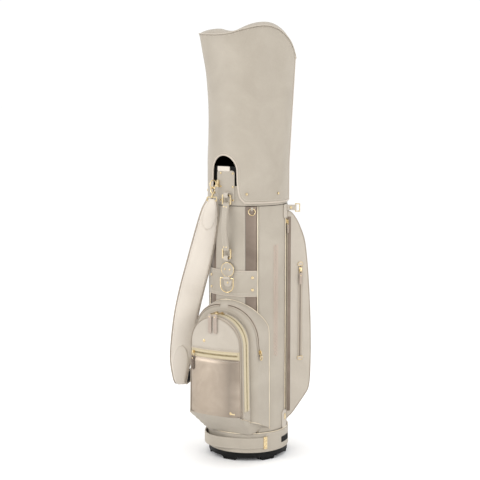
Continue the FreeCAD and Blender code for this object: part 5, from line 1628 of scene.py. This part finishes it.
def make_handle():
    """Grab handle: a stitched leather grip, bowed outwards, between two rings."""
    top, foot = HANDLE_TOP_Z - 2 * RING_OFFSET + 0.003, HANDLE_FOOT_Z + 2 * RING_OFFSET - 0.003
    middle, half_length = (top + foot) / 2, (top - foot) / 2
    steps = 60

    def bowed(t):
        """The middle of the grip's back, the way outwards and the share of width left, at t from -1 to 1."""
        bow = 1.0 - t * t
        out = Vector((0, -1.0, HANDLE_BOW * 2.0 * t / half_length)).normalized()
        return Vector((0, HANDLE_BACK_Y - HANDLE_BOW * bow, middle + half_length * t)), out, 1.0 - 0.16 * bow

    section = strip_profile(0.0094, HANDLE_THICK, 0.0008, 0.0022, 10)
    rows = []
    for t in span(-1.0, 1.0, steps):
        back, out, waist = bowed(t)
        end = 1.0 - 0.45 * (1.0 - smoothstep((1.0 - abs(t)) * half_length / 0.0032))
        row = []
        for u, h in section:
            height = HANDLE_THICK / 2 + (h - HANDLE_THICK / 2) * end
            row.append(back + Vector((u * end ** 0.3 * waist, 0, 0)) + out * height)
        rows.append(row)
    grip = add_mesh("handle_grip", *carried(rows), ["ivory"], "handle")
    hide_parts("handle_grip")
    lines = []
    for side in (-1, 1):
        line = []
        for t in span(-1.0, 1.0, steps)[3:-3]:
            back, out, waist = bowed(t)
            line.append(back + Vector((side * 0.0064 * waist, 0, 0)) + out * (HANDLE_THICK + 0.0003))
        lines.append(line)
    stitches("handle_grip_stitches", lines, "handle")
    for name, z in (("top", top - 0.010), ("foot", foot + 0.010)):
        back, _, _ = bowed((z - middle) / half_length)
        for side, hand in SIDES:
            spot = back + Vector((side * 0.004, -HANDLE_THICK - 0.0005, 0))
            stud(f"handle_rivet_{name}_{hand}", spot, Vector((0, -1, 0)), 0.0021, 0.0012, "gold", "handle")


def make_handle_loops():
    """Leather loops that hold the handle's rings."""
    across, out = Vector((1, 0, 0)), Vector((0, -1, 0))
    outline = rounded_outline(0.0138, 0.0150, 0.002)
    for name, z, surface in (("upper", HANDLE_TOP_Z, -0.1174), ("lower", HANDLE_FOOT_Z, -PANEL_OUT)):
        centre = Vector((0, HANDLE_Y, z))
        loop = ring_band(f"handle_loop_{name}", centre, across, out, 0.0077, 0.007, 0.0021, square=True)
        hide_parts("handle_loops")
        place = on_plane(Vector((0, surface + 0.0004, z)), across, Vector((0, 0, 1)), out)
        thick = abs(HANDLE_Y + 0.0062 - surface) + 0.0012
        plate(f"handle_loop_base_{name}", outline, place, thick, "ivory_light", "bag")


def make_front_ring():
    """Riveted tab with a round keeper on the belt band, for the D-ring."""
    out, across, up = Vector((0, -1, 0)), Vector((1, 0, 0)), Vector((0, 0, 1))
    back = -BAND_OUT - 0.0001
    place = on_plane(Vector((0, back, 0.536)), across, up, out)
    outline = rounded_outline(0.028, 0.048, 0.0137)
    tab = sewn_plate("ring_tab", outline, place, 0.0028, "ivory_light", 0.0026, 0.0002,
                     edge=0.0008, crown=0.0003)
    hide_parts("ring_tab")
    place = on_plane(Vector((0, back - 0.0028, 0.562)), across, up, out)
    sewn_plate("ring_keeper", disc_outline(0.021), place, 0.0021, "ivory", 0.0034,
               sewing=dict(pitch=0.0034, length=0.0024), edge=0.0008, crown=0.0002, rings=6)
    rim = [place(x, y, 0.0014) for x, y in disc_outline(0.0204, 56)]
    tube("ring_keeper_rim", rim, 0.0011, "gold", "bag", closed=True)
    ring_band("ring_tab_fold", Vector((0, DRING_Y, DRING_Z)), across, out, 0.0046, 0.011, 0.0021)


TOWEL_BEARING = 34.0


def make_towel_tab():
    """Folded tab that holds the towel ring."""
    radius, z = 0.1188, 0.738
    out, across = at(TOWEL_BEARING, 1.0, 0.0), round_way(TOWEL_BEARING)
    fold = ring_band("towel_tab_fold", at(TOWEL_BEARING, radius, z), across, out, 0.0037, 0.003, 0.0013)
    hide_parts("anchor_tabs")
    place = on_cylinder(TOWEL_BEARING, z - 0.002, PANEL_OUT - 0.0007)
    outline = rounded_outline(0.0064, 0.0100, 0.001)
    plate("towel_tab_base", outline, place, 0.0012, "ivory_light", "bag", edge=0.0004)


def make_umbrella_strap():
    """Two-layer strap that stands out over the side pocket and folds round the post of its loop."""
    root = at(101.0, STRIP_PATCH[1] + 0.0003, 0.7335)
    way = at(118.0, 1.0, 0.0)
    side = Vector((-way.y, way.x, 0))
    pivot = root + way * 0.024
    near, far, gap = root - way * 0.0004, pivot - way * 0.004, side * 0.0008
    path = [(near + gap, side)]
    path += [(root.lerp(far, k / 12) + gap, side) for k in range(1, 13)]
    for degrees in span(90.0, -90.0, 8):
        a = math.radians(degrees)
        ray = way * math.cos(a) + side * math.sin(a)
        path.append((pivot + ray * 0.0022, ray))
    path += [(far.lerp(near, k / 12) - gap, -side) for k in range(13)]
    spots = [(p, Vector((0, 0, 1)), out) for p, out in path]
    strap = sweep("umbrella_strap", spots, strip_profile(0.008, 0.0008, 0.0, 0.0003), "ivory_light", "bag")
    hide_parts("umbrella_strap")
    lines = []
    for drop in (-0.0061, 0.0061):
        for face in (-1, 1):
            shift = side * (0.0017 * face) + Vector((0, 0, drop))
            lines.append([root.lerp(pivot - way * 0.006, k / 10) + shift for k in range(11)])
    stitches("umbrella_strap_stitches", lines, "bag", pitch=0.0034, length=0.0024, radius=0.0003)
    spot = root.lerp(pivot, 0.45) + side * -0.0016
    stud("umbrella_strap_snap", spot, -side, 0.0036, 0.0018, "gold", "bag", dimple=0.3)


# Shoulder strap ------------------------------------------------------------------------------------

PAD_STATIONS = (                # across, out, height, half width, half thickness
    (-0.1035, 0.0935, 0.764, 0.0120, 0.0042), (-0.1055, 0.0910, 0.749, 0.0175, 0.0042),
    (-0.1090, 0.0860, 0.730, 0.0230, 0.0050), (-0.1160, 0.0780, 0.692, 0.0280, 0.0065),
    (-0.1290, 0.0680, 0.632, 0.0320, 0.0075), (-0.1450, 0.0570, 0.566, 0.0340, 0.0075),
    (-0.1640, 0.0440, 0.494, 0.0345, 0.0075), (-0.1810, 0.0320, 0.418, 0.0340, 0.0075),
    (-0.1920, 0.0230, 0.344, 0.0330, 0.0075), (-0.1995, 0.0150, 0.280, 0.0300, 0.0070),
    (-0.2020, 0.0060, 0.232, 0.0220, 0.0060), (-0.2010, -0.0080, 0.205, 0.0170, 0.0045),
    (-0.1960, -0.0240, 0.197, 0.0140, 0.0035),
)
WEB_STATIONS = (
    (-0.1940, -0.0295, 0.1975, 0.0135, 0.0017), (-0.1800, -0.0480, 0.208, 0.0145, 0.0017),
    (-0.1600, -0.0600, 0.232, 0.0130, 0.0017), (-0.1380, -0.0690, 0.264, 0.0110, 0.0017),
    (-0.1180, -0.0740, 0.293, 0.0090, 0.0017), (-0.1075, -0.0745, 0.309, 0.0080, 0.0026),
)
PAD_STEPS = 90
PAD_SLACK = 0.86                # share of its thickness that the pad starts with, before it is blown up
TOP_PATCH_LENGTH = 0.090
FOOT_PATCH_START = 62           # step of the pad where the foot patch ends
PATCH_ACROSS = (-1.0, -0.97, -0.75, -0.4, 0.0, 0.4, 0.75, 0.97, 1.0)


def strap_spots(stations, steps):
    """(centre, across, out, half width, half thickness) at even steps along the strap."""
    keyed = [(float(k), *station) for k, station in enumerate(stations)]
    values = [curve_value(keyed, (len(keyed) - 1) * k / steps) for k in range(steps + 1)]
    points = [seen(*v[:3]) for v in values]
    level = seen(1.0, 0.0, 0.0)
    spots = []
    for k, v in enumerate(values):
        along = (points[min(k + 1, steps)] - points[max(k - 1, 0)]).normalized()
        wide = (level - along * level.dot(along)).normalized()
        spots.append((points[k], wide, along.cross(wide), v[3], v[4]))
    return spots


def puff(piece, voxel, pressure, cap, held):
    """Fills a closed form with air: remeshed, blown up as cloth, and no point moved further than cap.
    held says which points are sewn down."""
    remesh = piece.modifiers.new("remesh", "REMESH")
    remesh.mode = "VOXEL"
    remesh.voxel_size = voxel
    remesh.use_smooth_shade = True
    graph = bpy.context.evaluated_depsgraph_get()
    data = bpy.data.meshes.new_from_object(piece.evaluated_get(graph))
    materials = list(piece.data.materials)
    piece.modifiers.clear()
    piece.data = data
    data.materials.clear()
    for material in materials:
        data.materials.append(material)
    start = [v.co.copy() for v in data.vertices]
    group = piece.vertex_groups.new(name="sewn")
    group.add([k for k, p in enumerate(start) if held(p)], 1.0, "ADD")
    cloth = piece.modifiers.new("cloth", "CLOTH")
    settings = cloth.settings
    settings.quality = 6
    settings.mass = 0.25
    settings.tension_stiffness = 12.0
    settings.compression_stiffness = 12.0
    settings.shear_stiffness = 6.0
    settings.bending_stiffness = 0.6
    settings.air_damping = 2.0
    settings.use_pressure = True
    settings.uniform_pressure_force = pressure
    settings.vertex_group_mass = "sewn"
    settings.effector_weights.gravity = 0.0
    cloth.point_cache.frame_start, cloth.point_cache.frame_end = 1, 20
    for number in range(1, 21):
        scene.frame_set(number)
    graph = bpy.context.evaluated_depsgraph_get()
    blown = piece.evaluated_get(graph).to_mesh()
    moved = [v.co.copy() for v in blown.vertices]
    piece.evaluated_get(graph).to_mesh_clear()
    piece.modifiers.clear()
    for vertex, a, b in zip(data.vertices, start, moved):
        step = b - a
        if step.length > cap:
            step *= cap / step.length
        vertex.co = a + step
    piece.vertex_groups.clear()
    scene.frame_set(1)
    data.polygons.foreach_set("use_smooth", [True] * len(data.polygons))
    smooth = piece.modifiers.new("smooth", "SUBSURF")
    smooth.levels = smooth.render_levels = 1


class Cast:
    """Finds the outer face of a piece under a spot of the strap."""

    def __init__(self, piece):
        self.tree = BVHTree.FromObject(piece, bpy.context.evaluated_depsgraph_get())

    def onto(self, spot, across, height):
        centre, wide, out, _, _ = spot
        start = centre + wide * across + out * 0.05
        hit = self.tree.ray_cast(start, -out)[0]
        return (hit if hit is not None else centre + wide * across) + out * height


def nearest_spot(spots, p):
    return min(spots, key=lambda spot: (spot[0] - p).length_squared)


def make_pad():
    """Padded part of the strap, blown up between its sewn edges, with a black inner face."""
    spots = strap_spots(PAD_STATIONS, PAD_STEPS)
    rows = []
    for centre, wide, out, half_w, half_t in spots:
        ring = []
        for a in full_turn(28):
            c, s = math.cos(a), math.sin(a)
            across = math.copysign(abs(c) ** 0.6, c) * half_w * 0.985
            height = math.copysign(abs(s) ** 0.75, s) * half_t * PAD_SLACK
            ring.append(centre + wide * across + out * height)
        rows.append(ring)
    pad = add_mesh("strap_pad", *carried(rows), ["ivory_strap", "strap_back"], "shoulder_strap")

    def sewn(p):
        centre, wide, _, half_w, _ = nearest_spot(spots, p)
        at_end = min((p - spots[0][0]).length, (p - spots[-1][0]).length) < 0.016
        return at_end or abs((p - centre).dot(wide)) > half_w * 0.90

    puff(pad, 0.004, 4.0, 0.0045, sewn)
    for face in pad.data.polygons:
        centre, _, out, _, half_t = nearest_spot(spots, face.center)
        inside = (face.center - centre).dot(out) < -0.12 * half_t
        face.material_index = 1 if inside else 0
    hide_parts("strap_pad")
    return pad, spots


def make_strap_patch(name, spots, cast):
    """A round-ended patch sewn over one end of the pad. Returns the line that its stitches follow."""
    rows, border = [], []
    last = len(spots) - 1
    for k, spot in enumerate(spots):
        left = (last - k) / last
        round_off = math.sqrt(max(1.0 - max(1.0 - left / 0.32, 0.0) ** 2, 0.0))
        half = max((spot[3] - 0.0042) * (0.99 * round_off), 0.0006)
        rows.append([cast.onto(spot, half * u, 0.0011 if abs(u) < 0.99 else 0.0001) for u in PATCH_ACROSS])
        border.append((spot, max(half - 0.0028, 0.0)))
    rows.append([p - spots[-1][2] * 0.0009 for p in rows[-1]])
    patch = sheet_piece(name, rows, ["ivory_strap"], "shoulder_strap", away=Vector((0.02, 0.0, 0.4)))
    if sum(face.normal.dot(spots[0][2]) * face.area for face in patch.data.polygons) < 0.0:
        patch.data.flip_normals()
    line = [cast.onto(spot, -reach, 0.0014) for spot, reach in border]
    return line + [cast.onto(spot, reach, 0.0014) for spot, reach in border[::-1]]


def make_strap_trim(pad, spots):
    """Piping along both edges of the pad, its end patches and its stitching."""
    cast = Cast(pad)
    lines = []
    for side, name in SIDES:
        edge = []
        for centre, wide, out, half_w, half_t in spots:
            edge.append(centre + wide * (side * (half_w + 0.0004)) - out * (half_t * 0.10))
        tube(f"strap_piping_{name}", edge, 0.0021, "piping", "shoulder_strap")
        lines.append([cast.onto(spot, side * (spot[3] - 0.0055), 0.0001) for spot in spots[2:-2]])
    top_end = next(k for k, spot in enumerate(spots) if (spot[0] - spots[0][0]).length > TOP_PATCH_LENGTH)
    lines.append(make_strap_patch("strap_patch_top", spots[:top_end + 1], cast))
    lines.append(make_strap_patch("strap_patch_foot", spots[:FOOT_PATCH_START - 1:-1], cast))
    stitches("strap_stitches", lines, "shoulder_strap")


def make_web():
    """Narrow return strap from the foot of the pad to the swivel on the body."""
    spots = strap_spots(WEB_STATIONS, 40)
    rows = []
    for centre, wide, out, half_w, half_t in spots:
        ring = strip_profile(half_w, 2.0 * half_t, 0.0002, 0.0008)
        rows.append([centre + wide * u + out * (h - half_t) for u, h in ring])
    web = add_mesh("strap_return_web", *carried(rows), ["ivory_strap", "strap_back"], "shoulder_strap")
    for face in web.data.polygons:
        inside = face.normal.dot(nearest_spot(spots, face.center)[2]) < -0.4
        face.material_index = 1 if inside else 0
    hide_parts("strap_return_web")
    lines = []
    for side in (-1, 1):
        for face in (-1, 1):
            line = []
            for centre, wide, out, half_w, half_t in spots:
                across, height = side * (half_w - 0.0028), face * (half_t + 0.0002)
                line.append(centre + wide * across + out * height)
            lines.append(line)
    stitches("strap_return_stitches", lines, "shoulder_strap")


def make_strap_anchor():
    """Stitched tab and eye on the left of the body for the strap's lower end."""
    bearing, z = -97.0, 0.327
    place = on_cylinder(bearing, z, PANEL_OUT + 0.0001)
    outline = rounded_outline(0.026, 0.038, 0.004)
    tab = plate("strap_anchor_tab", outline, place, 0.0024, "ivory_light", "bag", edge=0.0007, crown=0.0002)
    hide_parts("anchor_tabs")
    stitches("strap_anchor_stitches", [plate_stitches(outline, place, 0.003, 0.0025)], "bag")
    out, side = at(bearing, 1.0, 0.0), round_way(bearing)
    hub = at(bearing, PANEL_OUT + 0.013, 0.330)
    half_height, bevel, hole, nose, reach = 0.0028, 0.0008, 0.0031, 0.006, 0.0106
    inner = half_height - bevel
    loops = []
    for height, shrink in ((-half_height, bevel), (-inner, 0.0), (inner, 0.0), (half_height, bevel)):
        ring = []
        for a in full_turn(40):
            c, s = math.cos(a), math.sin(a)
            size = nose - shrink
            distance = size if c >= 0.0 else min(size / max(abs(s), 1e-6), reach / abs(c))
            ring.append(hub + out * (distance * c) + side * (distance * s) + Vector((0, 0, height)))
        loops.append(ring)
    for height in (half_height, -half_height):
        centre = hub + Vector((0, 0, height))
        loops.append([centre + (out * math.cos(a) + side * math.sin(a)) * hole for a in full_turn(40)])
    loops.append(loops[0])
    sheet_piece("strap_anchor_eye", loops, ["gold"], "bag", wrap=True, away=None)


# Ornament ------------------------------------------------------------------------------------------


def make_ornament():
    """Plain embroidered braid down the right-hand panel, in place of lettering, a stud and a blank plate."""
    bearing, low, high, radius = 72.5, 0.306, 0.631, PANEL_OUT + 0.0007
    swing, wave = 0.0066, 0.030
    for strand in (0, 1, 2):
        points = []
        for z in span(low, high, 240):
            phase = 2.0 * math.pi * ((z - low) / wave + strand / 3.0)
            lift = 0.0005 * math.cos(phase * 2.0 + 1.0)
            points.append(at(bearing + math.degrees(swing * math.sin(phase) / radius), radius + lift, z))
        tube(f"panel_braid_{strand}", points, 0.0010, "motif", "bag", sides=6)
    edge = math.degrees(0.0100 / radius)
    lines = [upright_line(b, radius, low - 0.004, high + 0.004, 50) for b in (bearing - edge, bearing + edge)]
    stitches("panel_braid_borders", lines, "bag", mat="motif", pitch=0.003, length=0.0024)
    up = Vector((0, 0, 1))
    spot = Vector((0.060, bulge_y(0.060) - 0.0030, 0.166))
    out = Vector((spot.x, spot.y - FACE_CENTRE_Y, 0)).normalized()
    place = on_plane(spot, -up.cross(out), up, out)
    outline = rounded_outline(0.016, 0.008, 0.0015)
    plate("face_plain_plate", outline, place, 0.0012, "gold", "bag", edge=0.0004, base=-0.001)
    spot = Vector((-0.030, bulge_y(0.030) - 0.0011, 0.368))
    stud("face_stud", spot, Vector((0, -1, 0)), 0.0042, 0.0018, "gold", "bag", dimple=0.25)


# CAD nodes that keep their shape -------------------------------------------------------------------

NODE_LOOKS = {
    "base_plate": "black_plastic", "drain_vent": "black_plastic", "cuff_ring": "black_plastic",
    "divider_top": "black_plastic", "floor_board": "board", "body_shell": "board", "stiffener_tube": "board",
    "stay_rods": "steel",
}


def dress_nodes():
    """Gives every CAD node a finished material: the named ones their own, and the rest are plated metal."""
    for node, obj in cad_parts.items():
        material = MATERIALS[NODE_LOOKS.get(node, "gold")]
        if not obj.material_slots:
            obj.data.materials.append(material)
        for holder in obj.material_slots:
            holder.material = material


# Stage ---------------------------------------------------------------------------------------------

FLOOR_REACH = 40.0
WORLD_STRENGTH = 1.05
LIGHTS = {                      # place, aim, size, power
    "key": ((-2.2, -3.0, 1.9), (0, 0, 0.50), (1.6, 2.2), 44.0),
    "fill": ((3.2, -1.4, 1.5), (0, 0, 0.5), (1.6, 2.4), 34.0),
    "top": ((0.4, 0.3, 3.6), (0, 0, 0.5), (2.0, 2.0), 14.0),
}


def area_light(name, place, aim, size, power):
    data = bpy.data.lights.new(name, "AREA")
    data.shape = "RECTANGLE"
    data.size, data.size_y = size
    data.energy = power
    light = bpy.data.objects.new(name, data)
    light.location = place
    light.rotation_euler = (Vector(aim) - Vector(place)).to_track_quat("-Z", "Y").to_euler()
    scene.collection.objects.link(light)


def make_stage():
    """Plain white floor, white surroundings and soft studio lights."""
    data = bpy.data.meshes.new("floor")
    corners = [(x * FLOOR_REACH, y * FLOOR_REACH, 0) for x, y in ((-1, -1), (1, -1), (1, 1), (-1, 1))]
    data.from_pydata(corners, [], [(0, 1, 2, 3)])
    floor = bpy.data.objects.new("floor", data)
    look = Shader("floor_white", roughness=0.9)
    grain = look.noise(3.0, 2.0)
    look.set("Base Color", look.ramp(grain, (0.0, (0.965, 0.965, 0.965)), (1.0, (0.98, 0.98, 0.98))))
    look.bsdf.inputs["Specular IOR Level"].default_value = 0.1
    data.materials.append(look.material)
    scene.collection.objects.link(floor)
    world = bpy.data.worlds.new("studio")
    world.use_nodes = True
    world.node_tree.nodes["Background"].inputs["Color"].default_value = (1.0, 1.0, 1.0, 1.0)
    world.node_tree.nodes["Background"].inputs["Strength"].default_value = WORLD_STRENGTH
    scene.world = world
    scene.view_settings.view_transform = "Standard"
    for name, (place, aim, size, power) in LIGHTS.items():
        area_light(name, place, aim, size, power)


def main():
    make_camera()
    make_stage()
    dress_nodes()
    make_collar()
    make_belt()
    make_body()
    make_band()
    make_cuff()
    make_dividers()
    make_hood()
    make_lower_bag()
    make_lower_bag_trim()
    make_upper_bag()
    make_upper_bag_trim()
    make_face()
    make_upper_zip()
    make_lower_zips()
    make_top_tab()
    make_side_pocket()
    make_side_zip()
    make_long_zip()
    make_pulls()
    make_handle()
    make_handle_loops()
    make_front_ring()
    make_towel_tab()
    make_umbrella_strap()
    pad, spots = make_pad()
    make_strap_trim(pad, spots)
    make_web()
    make_strap_anchor()
    make_ornament()


main()
